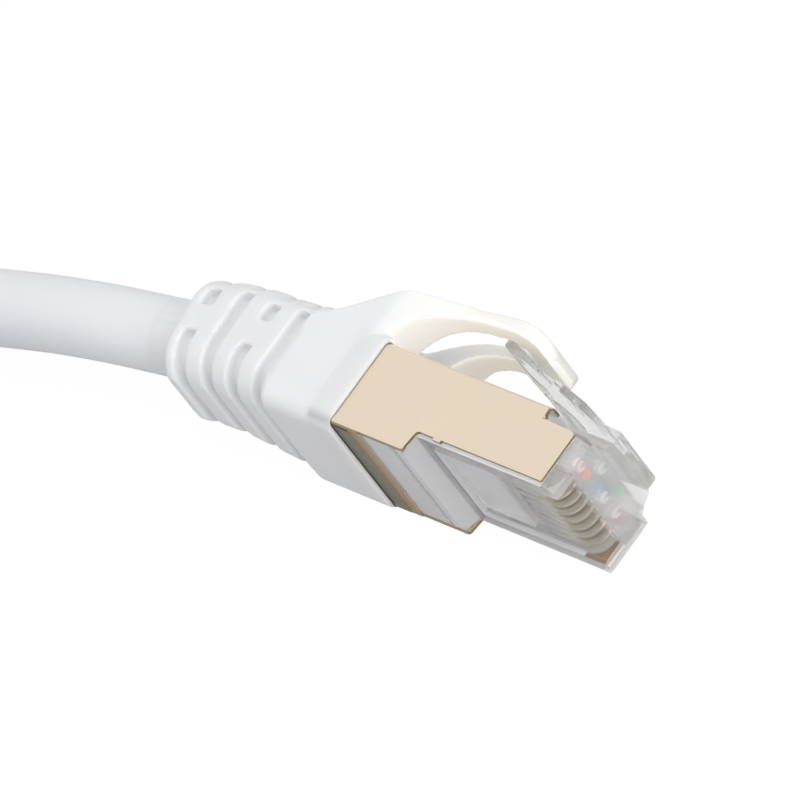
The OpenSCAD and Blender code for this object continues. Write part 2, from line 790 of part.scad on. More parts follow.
// Lays one end of the cable on its side on the floor
module end_a() {
    translate([assembly_mid, stand_y, boot_half])
        rotate([-90, 0, 0])
            children();
}

module end_b() {
    translate([assembly_mid, stand_y_b, boot_half])
        rotate([-90, 0, 0])
            children();
}

end_a() housing();  // housing_a
end_a() latch();  // latch_a
end_a() shield();  // shield_a
end_a() load_bar();  // load_bar_a
end_a() contacts();  // contacts_a
end_a() wire(1);  // wire_1_white_orange_a
end_a() wire(2);  // wire_2_orange_a
end_a() wire(3);  // wire_3_white_green_a
end_a() wire(4);  // wire_4_blue_a
end_a() wire(5);  // wire_5_white_blue_a
end_a() wire(6);  // wire_6_green_a
end_a() wire(7);  // wire_7_white_brown_a
end_a() wire(8);  // wire_8_brown_a
end_a() jacket_end(lean_a);  // jacket_end_a
end_a() braid_cuff();  // braid_cuff_a
end_a() boot(lean_a);  // boot_a
end_a() guard();  // guard_a
cable_lead();
cable_coil();
cable_tail();
coil_tie(180, 0.2, 2.12);  // coil_tie_left
coil_tie(0, 0.7, 1.76);  // coil_tie_right
end_b() housing();  // housing_b
end_b() latch();  // latch_b
end_b() shield();  // shield_b
end_b() load_bar();  // load_bar_b
end_b() contacts();  // contacts_b
end_b() wire(1);  // wire_1_white_orange_b
end_b() wire(2);  // wire_2_orange_b
end_b() wire(3);  // wire_3_white_green_b
end_b() wire(4);  // wire_4_blue_b
end_b() wire(5);  // wire_5_white_blue_b
end_b() wire(6);  // wire_6_green_b
end_b() wire(7);  // wire_7_white_brown_b
end_b() wire(8);  // wire_8_brown_b
end_b() jacket_end(lean_b);  // jacket_end_b
end_b() braid_cuff();  // braid_cuff_b
end_b() boot(lean_b);  // boot_b
end_b() guard();  // guard_b
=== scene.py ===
"""A shielded ethernet patch cable: two clear plugs in gold plated shields, white boots, one coiled cable."""

from __future__ import annotations

import logging
from dataclasses import dataclass
from enum import Enum
from math import atan2, copysign, cos, hypot, pi, radians, sin, tan
from typing import Callable, Optional, Sequence, Union

import bmesh
import bpy
from mathutils import Matrix, Vector

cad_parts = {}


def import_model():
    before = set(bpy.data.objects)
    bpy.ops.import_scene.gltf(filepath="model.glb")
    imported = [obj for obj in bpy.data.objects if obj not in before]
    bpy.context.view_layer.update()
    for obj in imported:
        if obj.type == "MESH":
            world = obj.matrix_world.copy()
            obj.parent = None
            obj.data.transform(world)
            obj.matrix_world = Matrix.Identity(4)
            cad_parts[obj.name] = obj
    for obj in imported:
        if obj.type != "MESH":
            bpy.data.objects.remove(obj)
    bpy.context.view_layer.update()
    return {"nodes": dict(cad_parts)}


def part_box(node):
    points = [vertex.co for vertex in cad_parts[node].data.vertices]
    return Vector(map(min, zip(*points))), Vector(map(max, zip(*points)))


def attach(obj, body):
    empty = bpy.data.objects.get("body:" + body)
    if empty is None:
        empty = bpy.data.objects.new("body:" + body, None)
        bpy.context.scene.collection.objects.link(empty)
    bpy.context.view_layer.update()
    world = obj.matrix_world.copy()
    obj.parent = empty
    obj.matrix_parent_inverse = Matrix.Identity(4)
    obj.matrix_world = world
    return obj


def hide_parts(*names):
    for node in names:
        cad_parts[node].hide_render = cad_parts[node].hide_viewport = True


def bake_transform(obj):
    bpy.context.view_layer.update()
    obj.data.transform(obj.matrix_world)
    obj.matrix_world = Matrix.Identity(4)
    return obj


log = logging.getLogger("patch_cable")

MM = 0.001
SEAT_GAP = 0.02
PITCH = 1.02
RAISED_PINS = (3, 6)
CABLE_AXIS = 3.0
LEAN_BEND = (-38.5, 8.0)
MANY_FACES = 4000
Point = tuple[float, float, float]
Flat = tuple[float, float]
Colour = tuple[float, float, float]
Material = bpy.types.Material
Piece = bpy.types.Object


# ---------------------------------------------------------------- materials


class Tap:
    """One value, vector, colour or shader on its way through a tree's nodes."""

    def __init__(self, bench: NodeBench, socket: bpy.types.NodeSocket) -> None:
        """Holds an output socket and the bench that it belongs to."""
        self.bench = bench
        self.socket = socket

    def __add__(self, other: Feed) -> Tap:
        """Sum."""
        return self.bench.combine("ADD", self, other)

    def __radd__(self, other: Feed) -> Tap:
        """Sum, from the right."""
        return self.bench.combine("ADD", other, self)

    def __sub__(self, other: Feed) -> Tap:
        """Difference."""
        return self.bench.combine("SUBTRACT", self, other)

    def __rsub__(self, other: Feed) -> Tap:
        """Difference, from the right, so that 1 - mask works."""
        return self.bench.combine("SUBTRACT", other, self)

    def __mul__(self, other: Feed) -> Tap:
        """Product."""
        return self.bench.combine("MULTIPLY", self, other)

    def __rmul__(self, other: Feed) -> Tap:
        """Product, from the right."""
        return self.bench.combine("MULTIPLY", other, self)

    def clamped(self) -> Tap:
        """The value kept between 0 and 1."""
        return self.bench.node("ShaderNodeClamp", {}, {"Value": self})


Feed = Union[Tap, float, Colour]


class NodeBench:
    """Builds the nodes of one tree."""

    def __init__(self, tree: bpy.types.NodeTree) -> None:
        """Empties the tree."""
        self.tree = tree
        tree.nodes.clear()

    def node(self, kind: str, settings: dict, inputs: dict, output: Union[int, str] = 0) -> Tap:
        """Adds any node.

        Args:
            kind: the node's type name.
            settings: properties, set first.
            inputs: values or taps by socket name or number.
            output: which output the result taps.

        Returns:
            The tapped output.
        """
        made = self.tree.nodes.new(kind)
        for key, value in settings.items():
            setattr(made, key, value)
        for key, value in inputs.items():
            socket = made.inputs[key]
            if isinstance(value, Tap):
                self.tree.links.new(value.socket, socket)
            elif socket.type == "RGBA":
                socket.default_value = (*value, 1.0)
            else:
                socket.default_value = value
        return Tap(self, made.outputs[output])

    def combine(self, operation: str, a: Feed, b: Feed) -> Tap:
        """Joins two feeds with the node that suits what they carry.

        Args:
            operation: ADD, SUBTRACT, MULTIPLY or MAXIMUM.
            a: first feed.
            b: second feed.

        Returns:
            The result.
        """
        kinds = {x.socket.type for x in (a, b) if isinstance(x, Tap)}
        if kinds & {"RGBA", "VECTOR"}:
            a, b = ((x, x, x) if isinstance(x, (int, float)) else x for x in (a, b))
        if "RGBA" in kinds:
            return self.tinted(a, b, operation)
        kind = "ShaderNodeVectorMath" if "VECTOR" in kinds else "ShaderNodeMath"
        return self.node(kind, {"operation": operation}, {0: a, 1: b})

    def tinted(self, colour: Feed, tone: Feed, operation: str = "MULTIPLY") -> Tap:
        """A colour changed by a tone or by another colour."""
        return self.node("ShaderNodeMix", {"data_type": "RGBA", "blend_type": operation},
                         {0: 1.0, 6: colour, 7: tone}, 2)

    def rays(self) -> list[Tap]:
        """Masks of what the camera, mirrors and clear things see."""
        return [self.node("ShaderNodeLightPath", {}, {}, ray)
                for ray in ("Is Camera Ray", "Is Glossy Ray", "Is Transmission Ray")]

    def end(self, kind: str, shader: Tap) -> None:
        """Ends the tree with an output of this kind."""
        self.tree.links.new(shader.socket, self.tree.nodes.new(kind).inputs["Surface"])


class PaintBench(NodeBench):
    """Builds one material."""

    def __init__(self, name: str) -> None:
        """Starts an empty material.

        Args:
            name: its name.
        """
        self.material = bpy.data.materials.new(name)
        self.material.use_nodes = True
        super().__init__(self.material.node_tree)

    def place(self, stretch: Point = (1.0, 1.0, 1.0)) -> Tap:
        """The surface's own coordinates in metres, stretched along each axis."""
        return self.node("ShaderNodeTexCoord", {}, {}, "Object") * stretch

    def cloud(self, scale: float, detail: float = 2.0, stretch: Point = (1.0, 1.0, 1.0)) -> Tap:
        """Soft noise of about 1 / scale metres."""
        return self.node("ShaderNodeTexNoise", {}, {"Vector": self.place(stretch), "Scale": scale,
                                                    "Detail": detail, "Roughness": 0.55}, "Fac")

    def mottle(self, base: float, spread: float, scale: float, detail: float = 2.0) -> Tap:
        """A value that wanders by spread above base."""
        return base + spread * self.cloud(scale, detail)

    def blend(self, mask: Feed, a: Feed, b: Feed) -> Tap:
        """Colour a where the mask is 0 and colour b where it is 1."""
        return self.node("ShaderNodeMix", {"data_type": "RGBA"}, {0: mask, 6: a, 7: b}, 2)

    def bump(self, height: Tap, depth: float, strength: float = 1.0) -> Tap:
        """A normal from a height that spans depth metres."""
        return self.node("ShaderNodeBump", {}, {"Height": height, "Distance": depth, "Strength": strength})

    def surface(self, inputs: dict) -> Material:
        """Ends the material with one Principled surface.

        Args:
            inputs: its sockets.

        Returns:
            The finished material.
        """
        return self.finish(self.node("ShaderNodeBsdfPrincipled", {}, inputs))

    def finish(self, shader: Tap) -> Material:
        """Ends the material with this shader."""
        self.end("ShaderNodeOutputMaterial", shader)
        return self.material


@dataclass(frozen=True)
class MouldedWhite:
    """Soft white moulding of the boots: fine texture, a little light inside, ivory where the strap is thin.

    The glow is painted light: an emission that stands in for the light that comes through the strap to its
    lower side.
    """

    name: str = "boot_plastic_white"
    glow: float = 0.0
    colour: Colour = (0.82, 0.825, 0.835)
    ivory: Colour = (0.92, 0.91, 0.86)

    def build(self) -> Material:
        """Makes the material.

        Returns:
            The finished material.
        """
        b = PaintBench(self.name)
        along = b.node("ShaderNodeSeparateXYZ", {}, {0: b.place()}, 0)
        thin = ((along + 0.0005) * 260.0).clamped()
        colour = b.blend(thin, self.colour, self.ivory) * b.mottle(0.985, 0.03, 260.0, 3.0)
        grain = b.cloud(9000.0, 3.0)
        rough = b.mottle(0.38, 0.14, 900.0)
        return b.surface({"Base Color": colour, "Roughness": rough, "IOR": 1.46,
                          "Subsurface Weight": 0.5, "Subsurface Scale": 0.0008,
                          "Subsurface Radius": (1.0, 0.95, 0.85),
                          "Emission Color": (1.0, 0.96, 0.87), "Emission Strength": self.glow,
                          "Normal": b.bump(grain, 0.000012, 0.5)})


@dataclass(frozen=True)
class ClearPlastic:
    """Clear moulded polycarbonate with faint flow lines."""

    name: str
    tint: Colour
    roughness: float
    haze: float
    alpha: float
    bend: float = 1.57
    flow: float = 0.00003

    def build(self) -> Material:
        """Makes the material.

        Returns:
            The finished material.
        """
        b = PaintBench(self.name)
        flow = b.cloud(420.0, 2.0, (0.4, 1.0, 1.0)) + b.cloud(1900.0) * 0.25
        rough = b.mottle(self.roughness, 0.08, 700.0)
        paint = b.tinted(self.tint, b.mottle(0.96, 0.06, 350.0))
        return b.surface({"Base Color": paint, "Roughness": rough, "IOR": self.bend,
                          "Transmission Weight": 1.0 - self.haze, "Alpha": self.alpha,
                          "Normal": b.bump(flow, self.flow)})


@dataclass(frozen=True)
class GoldPlate:
    """Gold plated sheet or blade with faint rolling marks and handling marks."""

    name: str
    colour: Colour = (0.787, 0.683, 0.537)
    roughness: float = 0.24
    roll: float = 0.000002

    def build(self) -> Material:
        """Makes the material.

        Returns:
            The finished material.
        """
        b = PaintBench(self.name)
        lines = b.cloud(1500.0, 4.0, (0.08, 1.0, 1.0))
        smear = b.cloud(160.0, 3.0)
        paint = b.tinted(self.colour, smear * 0.05 + 0.97)
        rough = smear * 0.1 + lines * 0.06 + (self.roughness - 0.06)
        return b.surface({"Base Color": paint, "Metallic": 1.0, "Roughness": rough,
                          "Normal": b.bump(lines, self.roll)})


@dataclass(frozen=True)
class JacketVinyl:
    """Smooth cable jacket: cool white vinyl with faint waviness and dust."""

    name: str = "cable_jacket_vinyl"
    colour: Colour = (0.79, 0.815, 0.83)

    def build(self) -> Material:
        """Makes the material.

        Returns:
            The finished material.
        """
        b = PaintBench(self.name)
        wave = b.cloud(150.0)
        grain = b.cloud(5200.0)
        paint = b.tinted(self.colour, b.mottle(0.975, 0.05, 90.0, 3.0))
        return b.surface({"Base Color": paint, "Roughness": b.mottle(0.3, 0.16, 700.0),
                          "Subsurface Weight": 0.12, "Subsurface Scale": 0.0006,
                          "Subsurface Radius": (1.0, 1.0, 1.0),
                          "Normal": b.bump(wave * 6.0 + grain * 0.2, 0.00002, 0.6)})


@dataclass(frozen=True)
class Insulation:
    """Thin glossy insulation of one wire."""

    name: str
    colour: Colour

    def build(self) -> Material:
        """Makes the material.

        Returns:
            The finished material.
        """
        b = PaintBench(self.name)
        paint = b.tinted(self.colour, b.mottle(0.94, 0.12, 1400.0))
        return b.surface({"Base Color": paint, "Roughness": b.mottle(0.28, 0.15, 3000.0),
                          "Normal": b.bump(b.cloud(6000.0), 0.00001, 0.5)})


@dataclass(frozen=True)
class BareCopper:
    """Cut end of a copper core with fine shear lines."""

    name: str = "bare_copper"
    dark: Colour = (0.62, 0.27, 0.14)
    bright: Colour = (0.83, 0.45, 0.28)

    def build(self) -> Material:
        """Makes the material.

        Returns:
            The finished material.
        """
        b = PaintBench(self.name)
        shear = b.cloud(9000.0, 2.0, (1.0, 0.15, 1.0))
        paint = b.blend(shear, self.dark, self.bright)
        return b.surface({"Base Color": paint, "Metallic": 1.0, "Roughness": shear * 0.2 + 0.25,
                          "Normal": b.bump(shear, 0.00001)})


@dataclass(frozen=True)
class TinnedBraid:
    """Woven tinned screen: two sets of bright strands that cross."""

    name: str = "tinned_braid_weave"
    dark: Colour = (0.32, 0.33, 0.34)
    bright: Colour = (0.80, 0.81, 0.82)

    def build(self) -> Material:
        """Makes the material.

        Returns:
            The finished material.
        """
        b = PaintBench(self.name)
        strands = [b.node("ShaderNodeTexWave", {"bands_direction": "DIAGONAL"},
                          {"Vector": b.place(lay), "Scale": 900.0, "Distortion": 0.4}, "Fac")
                   for lay in ((1.0, 1.0, 1.0), (1.0, -1.0, -1.0))]
        weave = strands[0] * strands[1]
        paint = b.blend(weave, self.dark, self.bright)
        return b.surface({"Base Color": paint, "Metallic": 1.0, "Roughness": 0.5 - weave * 0.2,
                          "Normal": b.bump(weave, 0.00008)})


@dataclass(frozen=True)
class TiePlastic:
    """Flat plastic ribbon of the coil's ties, ribbed along its length."""

    name: str = "tie_ribbon_plastic"
    colour: Colour = (0.80, 0.81, 0.82)

    def build(self) -> Material:
        """Makes the material.

        Returns:
            The finished material.
        """
        b = PaintBench(self.name)
        ribs = b.node("ShaderNodeTexWave", {"bands_direction": "Y"},
                      {"Vector": b.place(), "Scale": 420.0, "Distortion": 0.2}, "Fac")
        paint = b.tinted(self.colour, b.mottle(0.95, 0.08, 600.0))
        return b.surface({"Base Color": paint, "Roughness": b.mottle(0.42, 0.15, 2000.0),
                          "Normal": b.bump(ribs, 0.00004)})


@dataclass(frozen=True)
class PaleFloor:
    """Pale table that looks white to the camera and in mirrors, and still takes a faint shadow."""

    name: str = "pale_floor"
    colour: Colour = (0.5, 0.5, 0.51)
    shares: tuple[float, float, float] = (0.90, 0.45, 0.9)
    glow: float = 1.07

    def build(self) -> Material:
        """Makes the material.

        Returns:
            The finished material.
        """
        b = PaintBench(self.name)
        camera, mirror, clear = (ray * share for ray, share in zip(b.rays(), self.shares))
        paint = b.tinted(self.colour, b.mottle(0.99, 0.01, 120.0, 3.0))
        card = b.node("ShaderNodeBsdfDiffuse", {}, {"Color": paint})
        glow = b.node("ShaderNodeEmission", {}, {"Color": (1.0, 1.0, 1.0), "Strength": self.glow})
        mask = (camera + mirror + clear).clamped()
        return b.finish(b.node("ShaderNodeMixShader", {}, {0: mask, 1: card, 2: glow}))


# ---------------------------------------------------------------- solids


class Plane(Enum):
    """The plane an outline is drawn in; the solid is pushed out along the third axis."""

    SIDE = "side"
    SECTION = "section"
    PLAN = "plan"

    def lift(self, u: float, v: float, w: float) -> Point:
        """Finds a point in space.

        Args:
            u: first value of the outline.
            v: second value of the outline.
            w: how far along the push.

        Returns:
            The point.
        """
        if self is Plane.SIDE:
            return (u, w, v)
        return (w, u, v) if self is Plane.SECTION else (u, v, w)


def curve(a: Flat, b: Flat, c: Flat, d: Flat, steps: int = 14) -> list[Flat]:
    """Points of a cubic curve.

    Args:
        a: start.
        b: first handle.
        c: second handle.
        d: end.
        steps: number of chords.

    Returns:
        The points, both ends included.
    """
    points = []
    for i in range(steps + 1):
        t = i / steps
        s = 1 - t
        shares = (s ** 3, 3 * s * s * t, 3 * s * t * t, t ** 3)
        points.append(tuple(sum(share * p[k] for share, p in zip(shares, (a, b, c, d))) for k in (0, 1)))
    return points


def sweep(middle: Flat, radii: Flat, turn: int, step: int) -> list[Flat]:
    """Points of an arc that starts straight up or down from its middle.

    Args:
        middle: its middle.
        radii: how far it reaches across and up; a sign turns it round.
        turn: degrees that it turns.
        step: degrees between points.

    Returns:
        The points, both ends included.
    """
    return [(middle[0] + radii[0] * sin(radians(a)), middle[1] + radii[1] * cos(radians(a)))
            for a in range(0, turn + 1, step)]


def mirrored(points: Sequence[Flat]) -> list[Flat]:
    """The points at v = 0's other side, last one first."""
    return [(u, -v) for u, v in reversed(points)]


def pin_y(number: int) -> float:
    """Y of one pin's slot, blade and wire in the plug."""
    return (number - 4.5) * PITCH


def round_outline(half_u: float, low: float, high: float, radius: float, steps: int = 6) -> list[Flat]:
    """A rectangle with round corners, symmetrical about u = 0.

    Args:
        half_u: half its width.
        low: its lowest v.
        high: its highest v.
        radius: corner radius.
        steps: chords per corner.

    Returns:
        The closed outline, anticlockwise.
    """
    points = []
    for cu, cv, start in ((half_u - radius, high - radius, 0), (radius - half_u, high - radius, 90),
                          (radius - half_u, low + radius, 180), (half_u - radius, low + radius, 270)):
        for i in range(steps + 1):
            a = radians(start + 90 * i / steps)
            points.append((cu + radius * cos(a), cv + radius * sin(a)))
    return points


class Solid:
    """A closed mesh in the plug's own millimetres: joined, cut and softened before it is placed.

    X is negative from the nose back to the cable, Y runs across the plug, and Z from the contact face to
    the latch.
    """

    def __init__(self, verts: Sequence[Point], faces: Sequence[Sequence[int]]) -> None:
        """Makes the solid from points and faces.

        Args:
            verts: points.
            faces: point numbers of each face.
        """
        mesh = bpy.data.meshes.new("solid")
        mesh.from_pydata([tuple(v) for v in verts], [], [tuple(f) for f in faces])
        shape = bmesh.new()
        shape.from_mesh(mesh)
        bmesh.ops.recalc_face_normals(shape, faces=shape.faces[:])
        shape.to_mesh(mesh)
        shape.free()
        self.obj = bpy.data.objects.new("solid", mesh)
        bpy.context.scene.collection.objects.link(self.obj)

    @classmethod
    def prism(cls, outline: Sequence[Flat], plane: Plane, low: float, high: float) -> Solid:
        """Pushes an outline out.

        Args:
            outline: closed outline.
            plane: the plane it is drawn in.
            low: where the solid starts on the third axis.
            high: where it ends.

        Returns:
            The solid.
        """
        n = len(outline)
        verts = [plane.lift(u, v, w) for w in (low, high) for u, v in outline]
        faces = [tuple(range(n)), tuple(range(n, 2 * n))]
        faces += [(i, (i + 1) % n, n + (i + 1) % n, n + i) for i in range(n)]
        return cls(verts, faces)

    @classmethod
    def box(cls, x: Flat, y: Flat, z: Flat) -> Solid:
        """A block between two limits on each axis."""
        return cls.prism([(x[0], z[0]), (x[1], z[0]), (x[1], z[1]), (x[0], z[1])], Plane.SIDE, *y)

    @classmethod
    def skin(cls, rings: Sequence[Sequence[Point]]) -> Solid:
        """A closed skin.

        Args:
            rings: rings with equal numbers of points.

        Returns:
            The solid.
        """
        n = len(rings[0])
        verts = [p for ring in rings for p in ring]
        faces = [(i * n + k, i * n + (k + 1) % n, (i + 1) * n + (k + 1) % n, (i + 1) * n + k)
                 for i in range(len(rings) - 1) for k in range(n)]
        faces += [tuple(range(n)), tuple(range((len(rings) - 1) * n, len(rings) * n))]
        return cls(verts, faces)

    @classmethod
    def tube(cls, path: Sequence[Point], radii: Union[float, Sequence[float]], sides: int = 32) -> Solid:
        """A round tube along a path.

        Args:
            path: its middle line.
            radii: one radius, or one for each point.
            sides: sides of its section.

        Returns:
            The solid.
        """
        radii = [radii] * len(path) if isinstance(radii, (int, float)) else radii
        return cls.skin(tube_rings(path, radii, sides))

    def _settle(self) -> None:
        """Applies the modifiers."""
        bpy.context.view_layer.update()
        graph = bpy.context.evaluated_depsgraph_get()
        mesh = bpy.data.meshes.new_from_object(self.obj.evaluated_get(graph))
        self.obj.modifiers.clear()
        spent, self.obj.data = self.obj.data, mesh
        bpy.data.meshes.remove(spent)

    def _join(self, other: Solid, operation: str) -> Solid:
        """Joins another solid with a Boolean and uses it up.

        Args:
            other: the other solid.
            operation: UNION, DIFFERENCE or INTERSECT.

        Returns:
            The same solid.
        """
        fine = len(self.obj.data.polygons) > MANY_FACES
        for solver in (("MANIFOLD", "EXACT") if fine else ("EXACT",)):
            held = self.obj.data.copy()
            modifier = self.obj.modifiers.new("join", "BOOLEAN")
            modifier.operation = operation
            modifier.object = other.obj
            modifier.solver = solver
            self._settle()
            if len(self.obj.data.polygons) > 3 and len(self.obj.data.vertices) != len(held.vertices):
                break
            log.warning("the %s solver changed nothing", solver)
            self.obj.data = held
        bpy.data.objects.remove(other.obj)
        return self

    def __add__(self, other: Solid) -> Solid:
        """This solid with the other one fused to it."""
        return self._join(other, "UNION")

    def __sub__(self, other: Solid) -> Solid:
        """This solid less the other one."""
        return self._join(other, "DIFFERENCE")

    def __and__(self, other: Solid) -> Solid:
        """What this solid shares with the other one."""
        return self._join(other, "INTERSECT")

    def bevelled(self, width: float, segments: int) -> Solid:
        """Rounds the sharp edges.

        Args:
            width: width of the rounding.
            segments: its steps.

        Returns:
            The same solid.
        """
        soften(self.obj, width, segments, 28.0, 0.6)
        self._settle()
        return self

    def melted(self, voxel: float, rounds: int) -> Solid:
        """Turns the solid into one continuous moulding with soft inner and outer corners.

        Args:
            voxel: size of the new faces.
            rounds: how many times the corners are relaxed.

        Returns:
            The same solid.
        """
        grid = self.obj.modifiers.new("grid", "REMESH")
        grid.mode = "VOXEL"
        grid.voxel_size = voxel
        relax = self.obj.modifiers.new("relax", "SMOOTH")
        relax.iterations = rounds
        self._settle()
        return self

    def painted(self, finish: int, test: Callable[[Vector, Vector], bool]) -> Solid:
        """Gives another finish to some faces.

        Args:
            finish: number of the finish.
            test: tells from a face's middle and normal whether it is one of them.

        Returns:
            The same solid.
        """
        for face in self.obj.data.polygons:
            if test(face.center, face.normal):
                face.material_index = finish
        return self

    def placed(self, name: str, where: Matrix, finishes: Sequence[Material],
               crease: float = 35.0, crisp: bool = False) -> Piece:
        """Moves the solid to its place and paints it.

        Args:
            name: name of the piece.
            where: matrix from the plug's millimetres to the row frame.
            finishes: its materials.
            crease: edges sharper than this stay sharp, in degrees.
            crisp: True keeps large faces flat in their shading.

        Returns:
            The piece.
        """
        mesh = self.obj.data
        mesh.transform(where)
        shape = bmesh.new()
        shape.from_mesh(mesh)
        for face in shape.faces:
            face.smooth = True
        for edge in shape.edges:
            edge.smooth = not (edge.is_manifold and edge.calc_face_angle(0.0) > radians(crease))
        shape.to_mesh(mesh)
        shape.free()
        mesh.name = self.obj.name = name
        chosen = [face.material_index for face in mesh.polygons]
        mesh.materials.clear()
        for finish in finishes:
            mesh.materials.append(finish)
        for face, number in zip(mesh.polygons, chosen):
            face.material_index = number
        if crisp:
            even = self.obj.modifiers.new("even", "WEIGHTED_NORMAL")
            even.keep_sharp = True
        return self.obj


def soften(piece: Piece, width: float, segments: int, edge: float, flat: float) -> None:
    """Adds modifiers that merge flat faces and then round sharp edges.

    Args:
        piece: what gets them.
        width: width of the rounding; 0 leaves it out.
        segments: its steps.
        edge: edges sharper than this are rounded, in degrees.
        flat: faces that differ by less than this merge, in degrees.
    """
    merge = piece.modifiers.new("flat", "DECIMATE")
    merge.decimate_type = "DISSOLVE"
    merge.angle_limit = radians(flat)
    if width:
        soft = piece.modifiers.new("soft", "BEVEL")
        soft.width = width
        soft.segments = segments
        soft.limit_method = "ANGLE"
        soft.angle_limit = radians(edge)


def tube_rings(path: Sequence[Point], radii: Sequence[float], sides: int) -> list[list[Point]]:
    """Rings of a round tube along a path.

    Args:
        path: its middle line.
        radii: the radius at each point.
        sides: points in each ring.

    Returns:
        The rings.
    """
    points = [Vector(p) for p in path]
    rings = []
    up = Vector((0, 0, 1))
    for i, p in enumerate(points):
        heading = (points[min(i + 1, len(points) - 1)] - points[max(i - 1, 0)]).normalized()
        side = up.cross(heading)
        side = side.normalized() if side.length > 1e-6 else Vector((0, 1, 0))
        over = heading.cross(side)
        rings.append([tuple(p + radii[i] * (cos(a) * side + sin(a) * over))
                      for a in (2 * pi * (k + 0.5) / sides for k in range(sides))])
    return rings


def smooth_path(points: Sequence[Point], steps: int) -> list[Vector]:
    """A smooth line through points.

    Args:
        points: the points to pass through.
        steps: new points for each stretch.

    Returns:
        The line's points.
    """
    p = [Vector(v) for v in points]
    p = [2 * p[0] - p[1], *p, 2 * p[-1] - p[-2]]
    line = []
    for i in range(1, len(p) - 2):
        for k in range(steps):
            t = k / steps
            line.append(0.5 * ((2 * p[i]) + (p[i + 1] - p[i - 1]) * t
                               + (2 * p[i - 1] - 5 * p[i] + 4 * p[i + 1] - p[i + 2]) * t * t
                               + (3 * p[i] - p[i - 1] - 3 * p[i + 1] + p[i + 2]) * t ** 3))
    line.append(p[-2])
    return line


# ---------------------------------------------------------------- the two ends


@dataclass(frozen=True)
class Berth:
    """Where one end lies: on its side, nose to +X, boot on the floor."""

    tag: str
    lean: float
    half_height: float = 6.15
    heel_drop: float = 1.8

    @property
    def nose(self) -> float:
        """World X of the nose in millimetres."""
        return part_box(f"housing_{self.tag}")[1].x / MM

    @property
    def stand(self) -> float:
        """World Y of the contact face in millimetres."""
        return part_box(f"housing_{self.tag}")[0].y / MM + self.heel_drop - SEAT_GAP

    def matrix(self) -> Matrix:
        """From the plug's millimetres to the row frame in metres."""
        return Matrix(((MM, 0, 0, MM * self.nose), (0, 0, MM, MM * self.stand),
                       (0, -MM, 0, MM * self.half_height), (0, 0, 0, 1)))

    def point(self, x: float, y: float, z: float) -> Vector:
        """A point of the plug in the row frame."""
        return self.matrix() @ Vector((x, y, z))


